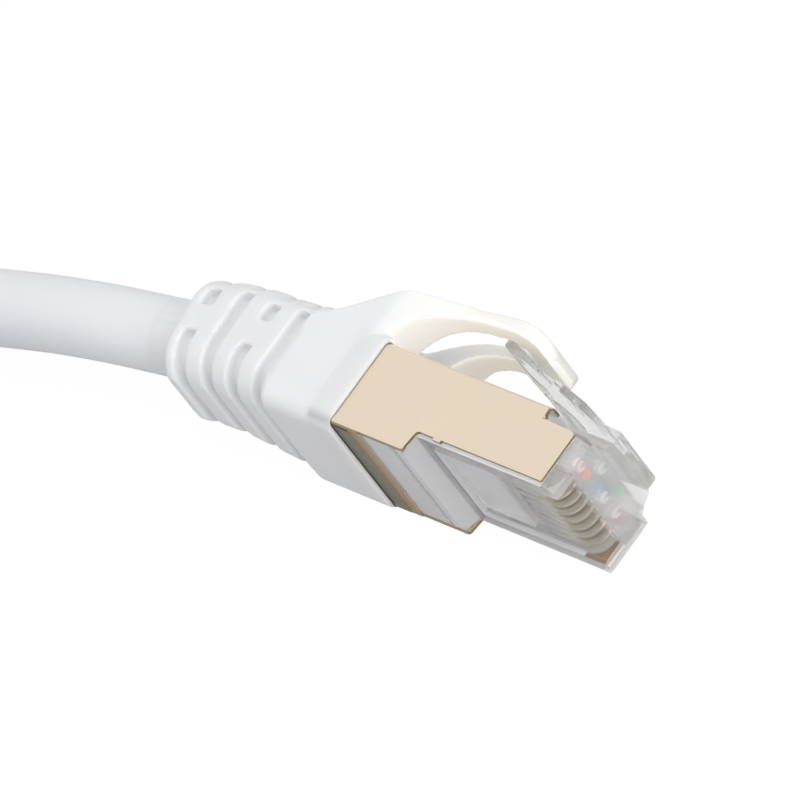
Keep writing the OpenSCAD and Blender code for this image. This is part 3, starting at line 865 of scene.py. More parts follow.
@dataclass
class Boot:
    """White boot: block on the plug, slotted relief on the cable, and the latch guard, in one moulding."""

    berth: Berth
    finishes: Sequence[Material]
    jacket: Material
    half: float = 6.15
    bottom: float = -2.45
    front: float = -22.2
    saddle: Flat = (-23.2, -29.9)
    valley_top: float = 6.3
    saddle_top: float = 7.35
    axis: float = CABLE_AXIS
    relief_mid: float = 2.6
    neck: tuple[float, float, float, float] = (-32.2, 5.9, 4.75, 2.8)
    relief_end: tuple[float, float, float, float] = (-42.3, 4.9, 4.75, 3.2)
    outlet: float = -46.4
    bend: Flat = LEAN_BEND
    block_bore: float = 3.75
    relief_bore: float = 3.15
    jacket_radius: float = 3.1
    bore_steps: Sequence[float] = (-20, -30, -34, -36, -38, -40, -42, -44)
    first_groove: float = -31.1
    groove_pitch: float = 3.3
    groove_width: float = 1.3
    groove_depth: float = 0.95
    groove_top: float = 3.0
    bridge: tuple[float, float, float] = (-1.15, 1.2, 2.7)
    top_dip: float = 0.28
    dip_from: float = 3.5
    keel: float = 1.5
    voxel: float = 0.16
    guard_crest: Sequence[Flat] = ((-30.2, 5.9), (-27.2, 6.6), (-24.5, 10.9), (-19.8, 11.85),
                                   (-17.0, 11.95), (-12.4, 13.4), (-11.1, 11.3))
    guard_belly: Sequence[Flat] = ((-11.2, 10.4), (-12.8, 11.4), (-14.8, 11.2), (-17.4, 11.0),
                                   (-20.2, 10.8), (-22.5, 9.9), (-23.0, 6.4))
    guard_foot: float = 4.3
    guard_half: float = 3.5
    guard_tip: Flat = (-14.6, 3.9)
    window: tuple[float, float, float] = (-24.6, -16.2, 1.6)

    def leaned(self, p: Point) -> Point:
        """Bends the straight boot at its relief.

        Args:
            p: a point of the straight boot.

        Returns:
            Where the lean takes it.
        """
        share = max(0.0, min(1.0, (self.bend[0] - p[0]) / self.bend[1] + 0.5))
        a = radians(self.berth.lean * share)
        x, z = p[0] - self.bend[0], p[2] - self.axis
        return (x * cos(a) - z * sin(a) + self.bend[0], p[1],
                x * sin(a) + z * cos(a) + self.axis)

    def relief_size(self, x: float) -> tuple[float, float, float]:
        """Half width, half height and corner radius of the relief at x."""
        t = (self.neck[0] - x) / (self.neck[0] - self.relief_end[0])
        return tuple(a + (b - a) * t for a, b in zip(self.neck[1:], self.relief_end[1:]))

    def ring(self, x: float, half_w: float, half_h: float, radius: float,
             mid: Optional[float] = None) -> list[Point]:
        """One leaned ring of the relief's skin.

        Args:
            x: where it lies along the straight boot.
            half_w: half its width.
            half_h: half its height.
            radius: corner radius.
            mid: Z of its middle; the relief's own if left out.

        Returns:
            Its 64 points.
        """
        mid = self.relief_mid if mid is None else mid
        points = []
        for k in range(64):
            a = 2 * pi * (k + 0.5) / 64
            c, s = cos(a), sin(a)
            points.append(self.leaned((x, copysign(half_w - radius, c) + radius * c,
                                       mid + copysign(half_h - radius, s) + radius * s)))
        return points

    def relief(self) -> Solid:
        """The strain relief from the block to the cable.

        Returns:
            The solid, without its grooves and bore.
        """
        mid = (self.saddle_top + self.bottom) / 2
        half_h = (self.saddle_top - self.bottom) / 2
        rings = [self.ring(self.saddle[1] + 1.0, self.half - 0.1, half_h - 0.1, 2.0, mid),
                 self.ring(self.saddle[1], self.half - 0.1, half_h - 0.1, 2.0, mid)]
        for i in range(9):
            x = self.neck[0] + (self.relief_end[0] - self.neck[0]) * i / 8
            w, h, r = self.relief_size(x)
            rings.append(self.ring(x, w, h, r))
        end, w, h, r = self.relief_end
        rings += [self.ring(end - back, w - inset, h - inset, r - inset)
                  for back, inset in ((0.35, 0.12), (0.6, 0.4), (0.75, 0.9), (0.8, 1.3))]
        return Solid.skin(rings)

    def strap(self) -> Solid:
        """The arched latch guard with its window.

        Returns:
            The solid.
        """
        half, slim, foot = self.half, self.guard_half, self.guard_foot
        outer = curve(*self.guard_crest[:4]) + curve(*self.guard_crest[3:])[1:]
        inner = curve(*self.guard_belly[:4]) + curve(*self.guard_belly[3:])[1:]
        arch = Solid.prism(outer + inner + [(-23.0, foot), (-30.4, foot)], Plane.SIDE, -half, half)
        taper = curve((-24.2, -half), (-22.4, -half), (-21.8, -slim), (-18.8, -slim))
        tip, reach = self.guard_tip
        plan = [(-31.0, -half), *taper, *sweep((tip, 0.0), (reach, -slim), 180, 12), *mirrored(taper),
                (-31.0, half)]
        arch = arch & Solid.prism(plan, Plane.PLAN, 0.0, 20.0)
        back, front, r = self.window
        window = sweep((back, 0.0), (-r, r), 180, 12) + sweep((front, 0.0), (r, -r), 180, 12)
        return (arch - Solid.prism(window, Plane.PLAN, 6.9, 20.0)).bevelled(0.28, 3)

    def groove(self, number: int) -> list[Solid]:
        """One relief groove, open below, with bridges that alternate along the relief.

        Args:
            number: 0 for the groove at the block.

        Returns:
            The cutters.
        """
        x = self.first_groove - number * self.groove_pitch
        w, h, r = self.relief_size(x)
        d, mid, wide = self.groove_depth, self.relief_mid, 9.0
        low = self.groove_width / 2
        cutters = []
        under, start, stop = self.bridge
        slots = [(-wide, self.groove_top, d)] if number % 2 == 0 else [(-wide, under, d), (start, stop, d)]
        for start, stop, depth in (*slots, (self.dip_from, wide, self.top_dip)):
            cutter = Solid.box((x - low, x + low), (-wide, wide), (mid + start, mid + stop))
            ring = round_outline(w - depth, mid - h + depth, mid + h - depth, max(0.4, r - depth), 8)
            cutter = cutter - Solid.prism(ring, Plane.SECTION, x - 2.0, x + 2.0)
            for v in cutter.obj.data.vertices:
                v.co = Vector(self.leaned(tuple(v.co)))
            cutters.append(cutter)
        return cutters

    def build(self) -> Piece:
        """Makes, places and dresses the boot.

        Returns:
            The piece.
        """
        body = Solid.prism(round_outline(self.half, self.bottom, self.valley_top, 0.9), Plane.SECTION,
                           self.saddle[0] - 0.5, self.front)
        crown = round_outline(self.half, self.bottom - 6, self.saddle_top, 3.0, 8)
        block = Solid.prism(round_outline(self.half, self.bottom, self.saddle_top, 0.9), Plane.SECTION,
                            self.saddle[1], self.saddle[0])
        body = body + (block & Solid.prism(crown, Plane.SECTION, self.saddle[1] - 1, self.saddle[0] + 1))
        body = body + self.relief()
        keel = round_outline(self.half + 0.01, self.bottom, self.saddle_top + 6, self.keel, 8)
        body = body & Solid.prism(keel, Plane.SECTION, self.outlet - 9, 0.0)
        body = body + self.strap()
        for number in range(4):
            for cutter in self.groove(number):
                body = body - cutter
        body = body.melted(self.voxel, 7)
        body = body - Solid.prism(round_outline(5.9, -2.1, 5.95, 0.6), Plane.SECTION, -24.65, -20.0)
        body = body - Solid.tube([(-20.0, 0, self.axis), (-28.05, 0, self.axis)], self.block_bore)
        path = [self.leaned((x, 0.0, self.axis)) for x in (*self.bore_steps, self.outlet)]
        body = body - Solid.tube(path, self.relief_bore, 40)
        sleeve = Solid.tube(path[5:], self.jacket_radius, 40)
        sleeve = sleeve.placed(f"cable_neck_{self.berth.tag}", self.berth.matrix(), [self.jacket], 60.0)
        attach(sleeve, "cable")
        # The strap's lower side and the base's front face get the second white. Its emission is a painted
        # glow for the light that comes through the thin strap.
        body = body.painted(1, lambda c, n: c.x > -23.3 and c.z > 6.0 and n.z < -0.05)
        body = body.painted(1, lambda c, n: -23.3 < c.x < -22.0 and c.z > 6.0 and n.x > 0.8)
        piece = body.placed(f"boot_skin_{self.berth.tag}", self.berth.matrix(), self.finishes, 38.0)
        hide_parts(f"boot_{self.berth.tag}", f"guard_{self.berth.tag}")
        self.berth.point(-21.4, 0, 10.9)
        self.berth.point(-17.4, 0, 10.9)
        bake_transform(piece)
        return piece


@dataclass
class Latch:
    """Clear sprung latch: root block on the nose, rising arm, two catches and the thumb tab."""

    berth: Berth
    finishes: Sequence[Material]
    half: float = 3.025
    tab_half: float = 1.6
    start: Flat = (-2.2, 7.35)
    rise: float = tan(radians(15.0))
    wells: Sequence[tuple[float, float, float, float]] = (
        (-8.2, -6.3, 2.1, 0.5), (-5.6, -3.4, 2.1, 0.45), (-15.0, -12.4, 0.9, 0.3))

    def top(self, x: float) -> float:
        """Height of the arm's upper face at x."""
        return self.start[1] + self.rise * (self.start[0] - x)

    def build(self) -> Piece:
        """Makes, places and dresses the latch.

        Returns:
            The piece.
        """
        top = self.top
        side = [(0.0, 5.92), (0.0, 6.9), (-0.25, 7.12), (-1.9, 7.15), (-2.4, 7.35), (-5.0, top(-5.0) + 0.16),
                (-8.4, top(-8.4) + 0.05), (-12.6, top(-12.6)), (-14.6, top(-14.6) + 0.2),
                (-17.4, top(-17.4) + 0.85), (-17.5, top(-17.4) - 0.3), (-15.6, top(-15.6) - 0.6),
                (-12.6, top(-12.6) - 0.92), (-8.7, top(-8.7) - 1.05), (-8.7, top(-8.7) - 1.5),
                (-7.1, top(-7.1) - 1.35), (-4.4, top(-4.4) - 1.35), (-3.3, 6.2), (-2.9, 5.92)]
        arm = Solid.prism(side, Plane.SIDE, -self.half, self.half)
        tip = sweep((-15.6, 0.0), (-self.tab_half, self.tab_half), 180, 15)
        edge = [(0.1, self.half), (-8.7, self.half), (-9.5, 2.1), (-11.2, self.tab_half)]
        arm = arm & Solid.prism([*edge, *tip, *mirrored(edge)], Plane.PLAN, 4.0, 14.0)
        for low, high, half, depth in self.wells:
            well = [(low, top(low) - depth), (high, top(high) - depth), (high, top(high) + 1),
                    (low, top(low) + 1)]
            arm = arm - Solid.prism(well, Plane.SIDE, -half, half)
        # Painted shade: the arm behind the root gets a greyer copy of the clear plastic. It stands in for the
        # darker look that refraction gives the arm.
        arm = arm.bevelled(0.12, 3).painted(1, lambda c, n: c.x < -3.5)
        piece = arm.placed(f"latch_arm_{self.berth.tag}", self.berth.matrix(), self.finishes, 50.0, True)
        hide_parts(f"latch_{self.berth.tag}")
        self.berth.point(-1.8, 0, 6.85)
        self.berth.point(-3.0, 0, 7.0)
        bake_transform(piece)
        return piece


@dataclass
class Shield:
    """Gold plated sheet folded round the housing, with its band, rear wall and crimp collar."""

    berth: Berth
    finishes: Sequence[Material]
    half: float = 5.85
    sheet: float = 0.25
    fold: float = 0.6
    height: float = 5.9
    heel: float = -1.8
    back: float = -24.6
    collar: Flat = (-28.0, 3.47)
    wire_hole: float = 2.4

    def build(self) -> Piece:
        """Makes, places and dresses the shield.

        Returns:
            The piece.
        """
        t, axis = self.sheet, CABLE_AXIS
        end, radius = self.collar
        low = self.heel - t
        outer = round_outline(self.half, low, self.height, self.fold, 5)
        inner = round_outline(self.half - t, low + t, self.height - t, max(0.08, self.fold - t), 3)
        box = Solid.prism(outer, Plane.SECTION, self.back, -1.2)
        box = box - Solid.prism(inner, Plane.SECTION, self.back + t, 0.0)
        under = [(0.0, low - 1), (-19.4, low - 1), (-19.4, self.heel), (-14.75, self.heel),
                 (-14.55, self.heel + 0.08), (-14.38, -0.3), (-14.3, -0.1), (-14.1, 0.0), (0.0, 0.0)]
        box = box - Solid.prism(under, Plane.SIDE, -8.0, 8.0)
        box = box - Solid.box((-20.5, -14.0), (-8.0, 8.0), (low - 1, self.heel - 0.12))
        for side in (-1, 1):
            edge = side * (self.half - t / 2)
            box = box + Solid.tube([(-4.62, edge, 4.7), (-4.62, edge, 5.6)], 0.24, 16)
        box = box + Solid.box((-12.6, -11.8), (-self.half + 0.02, -self.half + 0.5), (-0.2, 0.1))
        notch = [(0.2, 7.0), (-4.7, 7.0), (-4.7, 5.15), (-4.62, 4.86), (-4.4, 4.7), (-4.1, 4.66),
                 (-1.65, 4.55), (-1.3, 4.4), (-1.15, 4.1), (0.2, 4.1)]
        box = box - Solid.prism(notch, Plane.SIDE, -8.0, 8.0)
        box = box - Solid.box((-8.5, 0.2), (-4.6, 4.6), (5.0, 7.0))
        box = box + Solid.tube([(self.back + t, 0, axis), (end, 0, axis)], radius + t, 48)
        box = box - Solid.tube([(self.back - 0.01, 0, axis), (end - 1, 0, axis)], radius, 48)
        box = box - Solid.tube([(self.back + 1, 0, axis), (self.back - 1, 0, axis)], self.wire_hole, 48)
        box = box.bevelled(0.05, 2)
        # Painted reflection: faces of the sheet that point down or forward, and the heel's lip, get a dark
        # brown gold. It stands in for dark surroundings mirrored in the edges.
        box = box.painted(1, lambda c, n: abs(n.y) < 0.8 and (n.z < -0.3 or n.x > 0.3) and c.x > -19.3)
        box = box.painted(1, lambda c, n: n.z < -0.7 and c.x < -19.3 and c.z > self.heel - 0.2 and c.z < 0)
        # Painted reflection: the band's lower faces at the rear get a nearly black gold. It stands in for
        # dark surroundings by the boot mirrored in the sheet.
        box = box.painted(2, lambda c, n: n.z < -0.7 and c.x < -20.3 and c.z < self.heel - 0.1)
        piece = box.placed(f"shield_sheet_{self.berth.tag}", self.berth.matrix(), self.finishes, 40.0, True)
        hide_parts(f"shield_{self.berth.tag}")
        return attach(piece, "cable")


@dataclass
class Housing:
    """Clear plug body: nose with stepped shoulders, comb of slots, wire room and a frosted heel."""

    berth: Berth
    finishes: Sequence[Material]
    half: float = 5.58
    nose_half: float = 5.7
    roof: float = 5.63
    back: float = -24.3
    shoulder: float = -4.7
    sole: float = -0.36
    comb_half: float = 4.35

    def nose(self) -> Solid:
        """The nose with its chamfered uprights and stepped shoulders.

        Returns:
            The solid.
        """
        right = [(self.nose_half, self.sole), (self.nose_half, 4.3), (4.1, 4.3), (3.55, 5.0), (3.2, 5.9)]
        section = [*right, *[(-y, z) for y, z in reversed(right)]]
        block = Solid.prism(section, Plane.SECTION, self.shoulder, 0.0)
        side = [(0.0, 5.1), (-0.6, self.nose_half), (-1.18, self.nose_half), (-1.18, self.half),
                (self.shoulder - 0.1, self.half)]
        return block & Solid.prism([*side, *mirrored(side)], Plane.PLAN, -1.0, 9.0)

    def comb(self) -> list[Solid]:
        """The front opening and the eight slots.

        Returns:
            The cutters.
        """
        low = self.sole - 0.1
        arc = sweep((-2.4, 1.5), (1.5, -1.5), 90, 15)
        cutters = [Solid.box((-0.9, 0.1), (-4.36, 4.36), (low, 1.7)),
                   Solid.box((-0.45, 0.1), (4.3, 4.55), (low, 1.7)),
                   Solid.prism([(-2.4, low), *arc, (-0.8, 1.5), (-0.8, low)], Plane.SIDE,
                               -self.comb_half, self.comb_half)]
        for number in range(1, 9):
            y = pin_y(number)
            cutters += [Solid.box((-2.7, 0.1), (y - 0.28, y + 0.28), (low, 1.7)),
                        Solid.box((-6.0, -2.6), (y - 0.2, y + 0.2), (low, 0.5)),
                        Solid.box((-5.55, -1.35), (y - 0.19, y + 0.19), (0.0, 2.2))]
        return cutters

    def build(self) -> Piece:
        """Makes, places and dresses the housing.

        Returns:
            The piece.
        """
        wide, front = (-self.half, self.half), self.shoulder + 0.05
        body = self.nose() + Solid.box((self.back, front), wide, (0.0, self.roof))
        body = body + Solid.box((-14.45, front), wide, (self.sole, 0.1))
        body = body + Solid.box((-8.48, self.shoulder + 0.02), (-4.55, 4.55), (5.0, 5.9))
        heel = [(self.back, 0.3), (self.back, -1.78), (-15.0, -1.78), (-14.5, self.sole), (-14.4, 0.3)]
        body = body + Solid.prism(heel, Plane.SIDE, -self.half, self.half)
        body = body - Solid.box((self.back - 1, -1.2), (-4.6, 4.6), (2.1, 5.1))
        body = body - Solid.box((self.back - 1, -11.0), (-4.6, 4.6), (0.4, 5.1))
        body = body - Solid.box((-13.2, 0.1), (-self.comb_half, self.comb_half), (self.sole - 1, 0.0))
        body = body - Solid.box((-2.6, 0.1), (self.comb_half - 0.1, self.comb_half + 0.08),
                                (self.sole - 1, 0.0))
        ramp = [(-7.6, -0.1), (-7.6, 0.6), (-12.8, 0.1), (-12.8, -0.1)]
        body = body - Solid.prism(ramp, Plane.SIDE, -3.6, 3.6)
        groove = [(-16.5, -1.9), (-16.4, -1.3), (-16.1, -1.3), (-15.7, -1.9)]
        body = body - Solid.prism(groove, Plane.SIDE, -5.3, 5.3)
        for cutter in self.comb():
            body = body - cutter
        body = body.bevelled(0.07, 2).painted(1, lambda c, n: c.x < -6.1 and n.z < 0.3)
        body = body.painted(2, lambda c, n: -2.75 < c.x < -0.85 and c.z < 1.75 and abs(c.y) < 4.3)
        # Painted reflection: the front of the far rail's wall gets a dark brown finish that stands in for the
        # gold sheet seen through the clear plastic.
        body = body.painted(3, lambda c, n: (-1.9 < c.x < -0.44 and c.z < 1.6
                                             and 4.2 < c.y < 4.48 and n.y < -0.8))
        piece = body.placed(f"housing_body_{self.berth.tag}", self.berth.matrix(), self.finishes, 40.0, True)
        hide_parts(f"housing_{self.berth.tag}")
        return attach(piece, "cable")


@dataclass
class Contacts:
    """Eight blades with round front edges and two piercing tips each."""

    berth: Berth
    finish: Material
    thick: float = 0.34
    tips: Flat = (2.58, 3.85)

    def build(self) -> Piece:
        """Makes, places and dresses the blades.

        Returns:
            The piece.
        """
        arc = sweep((-2.55, 1.6), (1.35, -1.35), 90, 15)
        blades = None
        for number in range(1, 9):
            y = pin_y(number)
            tip = self.tips[number in RAISED_PINS]
            outline = [(-5.5, 0.6), (-5.35, 0.45), (-3.6, 0.32), *arc, (-1.2, 2.1), (-2.0, 2.1), (-2.2, tip),
                       (-2.4, tip), (-2.6, 2.1), (-4.1, 2.1), (-4.3, tip), (-4.5, tip), (-4.7, 2.1),
                       (-5.5, 2.1)]
            blade = Solid.prism(outline, Plane.SIDE, y - self.thick / 2, y + self.thick / 2)
            blades = blade if blades is None else blades + blade
        piece = blades.bevelled(0.04, 2).placed(f"contact_blades_{self.berth.tag}", self.berth.matrix(),
                                                [self.finish], 40.0, True)
        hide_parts(f"contacts_{self.berth.tag}")
        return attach(piece, "cable")


@dataclass(frozen=True)
class WireCode:
    """One wire of the cable: its place in the plug, its name and its two colours."""

    number: int
    name: str
    main: Colour
    stripe: Colour
    bundle: Flat

    @property
    def slot(self) -> str:
        """Its name with _insulation added; no slot is made from it."""
        return f"{self.name}_insulation"


@dataclass
class Wires:
    """The eight insulated wires with their cut copper ends."""

    berth: Berth
    paints: dict[str, Material]
    copper: Material
    codes: Sequence[WireCode]
    radius: float = 0.475
    sides: int = 20
    heights: Flat = (3.1, 4.4)
    cut_end: Sequence[Flat] = ((0.02, -0.06), (0.13, -0.05), (0.15, 0.02), (0.94, 0.02))
    copper_rows: int = 2
    stripe_sides: tuple[int, int, int] = (4, 5, 6)

    def build(self) -> list[Piece]:
        """Makes, places and dresses the wires.

        Returns:
            The pieces.
        """
        return [self.wire(code) for code in self.codes]

    def wire(self, code: WireCode) -> Piece:
        """One wire from its cut end at the nose to the jacket.

        Args:
            code: which wire.

        Returns:
            The piece.
        """
        y = pin_y(code.number)
        z = self.heights[code.number in RAISED_PINS]
        knee = (-23.62, code.bundle[0], CABLE_AXIS + code.bundle[1])
        line = [Vector((-1.32, y, z)), Vector((-4.0, y, z))]
        line += smooth_path([(-9.9, y, z), (-10.7, y, z), knee, (-24.6, knee[1], knee[2])], 6)
        n, r = self.sides, self.radius
        rings = tube_rings(line, [r] * len(line), n)
        x = line[0].x
        face = [[(x + dx, y + share * r * cos(a), z + share * r * sin(a))
                 for a in (2 * pi * (k + 0.5) / n + pi for k in range(n))]
                for share, dx in self.cut_end]
        rings[0] = [(p[0] - 0.03, p[1], p[2]) for p in rings[0]]
        start = [[self.match(rings[0], ring, k) for k in range(n)] for ring in face]
        solid = Solid.skin([*start, *rings])
        mesh = solid.obj.data
        white = code.main != code.stripe
        for face_index, polygon in enumerate(mesh.polygons):
            row, k = divmod(face_index, n)
            if row < self.copper_rows or face_index == (len(start) + len(rings) - 1) * n:
                polygon.material_index = 2
            elif white and k in self.stripe_sides:
                polygon.material_index = 1
        piece = solid.placed(f"wire_{code.name}_{self.berth.tag}", self.berth.matrix(),
                             [self.paints[code.name], self.paints[code.name + "_stripe"], self.copper], 60.0)
        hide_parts(f"wire_{code.number}_{code.name}_{self.berth.tag}")
        code.slot
        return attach(piece, "cable")

    @staticmethod
    def match(outer: Sequence[Point], ring: Sequence[Point], k: int) -> Point:
        """Matches two rings of the cut end.

        Args:
            outer: the outer ring.
            ring: the inner ring.
            k: number of a point of the outer ring.

        Returns:
            The point of the inner ring on the same side.
        """
        mid = [sum(p[i] for p in outer) / len(outer) for i in (1, 2)]
        a = atan2(outer[k][2] - mid[1], outer[k][1] - mid[0])
        centre = [sum(p[i] for p in ring) / len(ring) for i in (1, 2)]
        r = hypot(ring[0][1] - centre[0], ring[0][2] - centre[1])
        return (ring[0][0], centre[0] + r * cos(a), centre[1] + r * sin(a))


@dataclass
class CarriedNodes:
    """Solids that keep their own shape and get rounded edges and a finish."""

    berth: Berth
    nodes: dict[str, Piece]
    finishes: dict[str, tuple[Material, float]]

    def build(self) -> list[str]:
        """Dresses each node.

        Returns:
            The names of the nodes.
        """
        for name, (finish, width) in self.finishes.items():
            node = self.nodes[f"{name}_{self.berth.tag}"]
            weld = node.modifiers.new("weld", "WELD")
            weld.merge_threshold = 1e-6
            soften(node, width * MM, 2, 30.0, 1.0)
            for slot in node.material_slots:
                slot.material = finish
            even = node.modifiers.new("even", "WEIGHTED_NORMAL")
            even.keep_sharp = True
        return list(self.finishes)


# ---------------------------------------------------------------- the cable


@dataclass
class PatchCord:
    """The free cable between the two ends: out of the first boot, one coil, up into the second."""

    finish: Material
    berths: tuple[Berth, Berth]
    diameter: float = 6.2
    lay_z: float = 3.7
    pitch: float = 6.8
    outer: float = 40.0
    heading: float = 192.0
    laps: float = 4.0
    per_turn: int = 24
    lead_mid: Sequence[Point] = ((-35.5, -4.6, 5.7), (-42, -5.7, 5), (-49, -7, 4.3), (-56, -8.4, 3.8))
    lead_end: Point = (-65.94, -10.51, 3.7)
    tail_sag: float = 0.35
    tail_run: float = 1.5
    tail_mid: Sequence[Point] = ((0.19, 0.0, 0.17), (0.39, 0.12, 0.5), (0.56, 0.45, 0.82),
                                 (0.73, 0.8, 1.0), (0.88, 1.0, 1.0))

    def outlet(self, berth: Berth) -> Vector:
        """Middle of a boot's cable outlet.

        Args:
            berth: which end.

        Returns:
            The point in world millimetres.
        """
        a = radians(berth.lean)
        bend, reach = LEAN_BEND
        return Vector((berth.nose + bend - reach * cos(a), berth.stand + CABLE_AXIS - reach * sin(a),
                       berth.half_height))

    @property
    def turns(self) -> float:
        """Number of turns of the coil."""
        return self.laps + (270 - (self.heading - 90)) / 360

    @property
    def centre(self) -> Vector:
        """Middle of the coil.

        Returns:
            The point in world millimetres.
        """
        h, s = radians(self.heading), radians(self.heading - 90)
        start = Vector(self.lead_end) + self.diameter * Vector((cos(h), sin(h), 0))
        return start - self.outer * Vector((cos(s), sin(s), 0))

    def coil_point(self, u: float) -> Vector:
        """One point of the coil's middle line.

        Args:
            u: turns from the coil's start.

        Returns:
            The point in world millimetres.
        """
        half, quarter = self.turns / 2, 0.25
        t = max(0.0, min(1.0, (u - half + quarter) / (2 * quarter)))
        climb = t * t * (3 - 2 * t)
        d = abs(u - half)
        inward = half - d if d > quarter else half - quarter / 2 - d * d / (2 * quarter)
        r = self.outer - self.pitch * inward
        a = radians(self.heading - 90 + 360 * u)
        c = self.centre
        return Vector((c.x + r * cos(a), c.y + r * sin(a), self.lay_z + self.pitch * climb))

    def route(self) -> list[Vector]:
        """The whole route, out of the first boot and up into the second.

        Returns:
            Its points in world millimetres.
        """
        a = radians(self.berths[0].lean)
        first = self.outlet(self.berths[0])
        lead = smooth_path([first, first - self.diameter * Vector((cos(a), sin(a), 0)), *self.lead_mid,
                            self.lead_end], 2)
        n = round(self.turns * self.per_turn)
        coil = [self.coil_point(self.turns * i / n) for i in range(n + 1)]
        out = coil[-1] + Vector((self.diameter, 0, 0))
        last = self.outlet(self.berths[1])
        end = last - Vector((self.diameter, 0, 0))
        low = end.z - self.tail_sag
        tail = [out, out + Vector((self.tail_run, 0, 0))]
        tail += [Vector((out.x + (end.x - out.x) * s, out.y + (end.y - out.y) * c, out.z + (low - out.z) * d))
                 for s, c, d in self.tail_mid]
        return [*lead, *coil, *tail, end, last]

    def build(self) -> tuple[Piece, float]:
        """Lays the cord.

        Returns:
            The cord and its length in metres.
        """
        points = [p * MM for p in self.route()]
        line = bpy.data.curves.new("patch_cord", "CURVE")
        line.dimensions = "3D"
        line.resolution_u = 4
        line.bevel_depth = self.diameter / 2 * MM
        line.bevel_resolution = 7
        line.use_fill_caps = True
        spline = line.splines.new("BEZIER")
        spline.bezier_points.add(len(points) - 1)
        for knot, p in zip(spline.bezier_points, points):
            knot.co = p
            knot.handle_left_type = knot.handle_right_type = "AUTO"
        cord = bpy.data.objects.new("patch_cord", line)
        bpy.context.scene.collection.objects.link(cord)
        line.materials.append(self.finish)
        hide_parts("cable_lead", "cable_coil", "cable_tail")
        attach(cord, "cable")
        return cord, sum((b - a).length for a, b in zip(points, points[1:]))


@dataclass
class CoilTie:
    """Ribbon tie round the strands on one side of the coil, with twisted ends."""

    cord: PatchCord
    finish: Material
    name: str
    angle: float
    turns: Flat
    ribbon: Flat = (4.0, 0.6)
    twist: float = 420.0
    twist_steps: int = 14
    twist_length: float = 2.05

    def build(self) -> Piece:
        """Makes, places and dresses the tie.

        Returns:
            The piece.
        """
        outer = self.cord.outer - self.turns[0] * self.cord.pitch
        inner = self.cord.outer - self.turns[1] * self.cord.pitch
        mid = self.cord.lay_z + self.cord.pitch / 2
        half = (outer - inner) / 2 + self.cord.diameter / 2 + 0.1
        width, thick = self.ribbon
        loop = round_outline(half + thick, -mid, mid, 3.1, 10)
        hole = round_outline(half, -mid + thick - SEAT_GAP, mid - thick + SEAT_GAP, 2.5, 10)
        band = Solid.prism(loop, Plane.SIDE, -width / 2, width / 2)
        band = (band - Solid.prism(hole, Plane.SIDE, -width, width)).bevelled(0.14, 3)
        rings = []
        for i in range(self.twist_steps + 1):
            t = i / self.twist_steps
            x = -half - thick * 0.4 - self.twist_length * t
            a = t * radians(self.twist)
            w, h = 0.95 * (1 - 0.25 * t), 0.42
            rings.append([(x, cos(q) * w * cos(a) - sin(q) * h * sin(a),
                           cos(q) * w * sin(a) + sin(q) * h * cos(a))
                          for q in (2 * pi * k / 16 for k in range(16))])
        band = band + Solid.skin(rings)
        c = self.cord.centre
        turn = Matrix.Rotation(radians(self.angle), 4, "Z")
        shift = Matrix.Translation(Vector((c.x, c.y, mid)))
        out = Matrix.Translation(Vector(((outer + inner) / 2, 0, 0)))
        where = Matrix.Scale(MM, 4) @ shift @ turn @ out
        piece = band.placed(self.name + "_ribbon", where, [self.finish], 45.0)
        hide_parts(self.name)
        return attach(piece, "cable")


# ---------------------------------------------------------------- studio


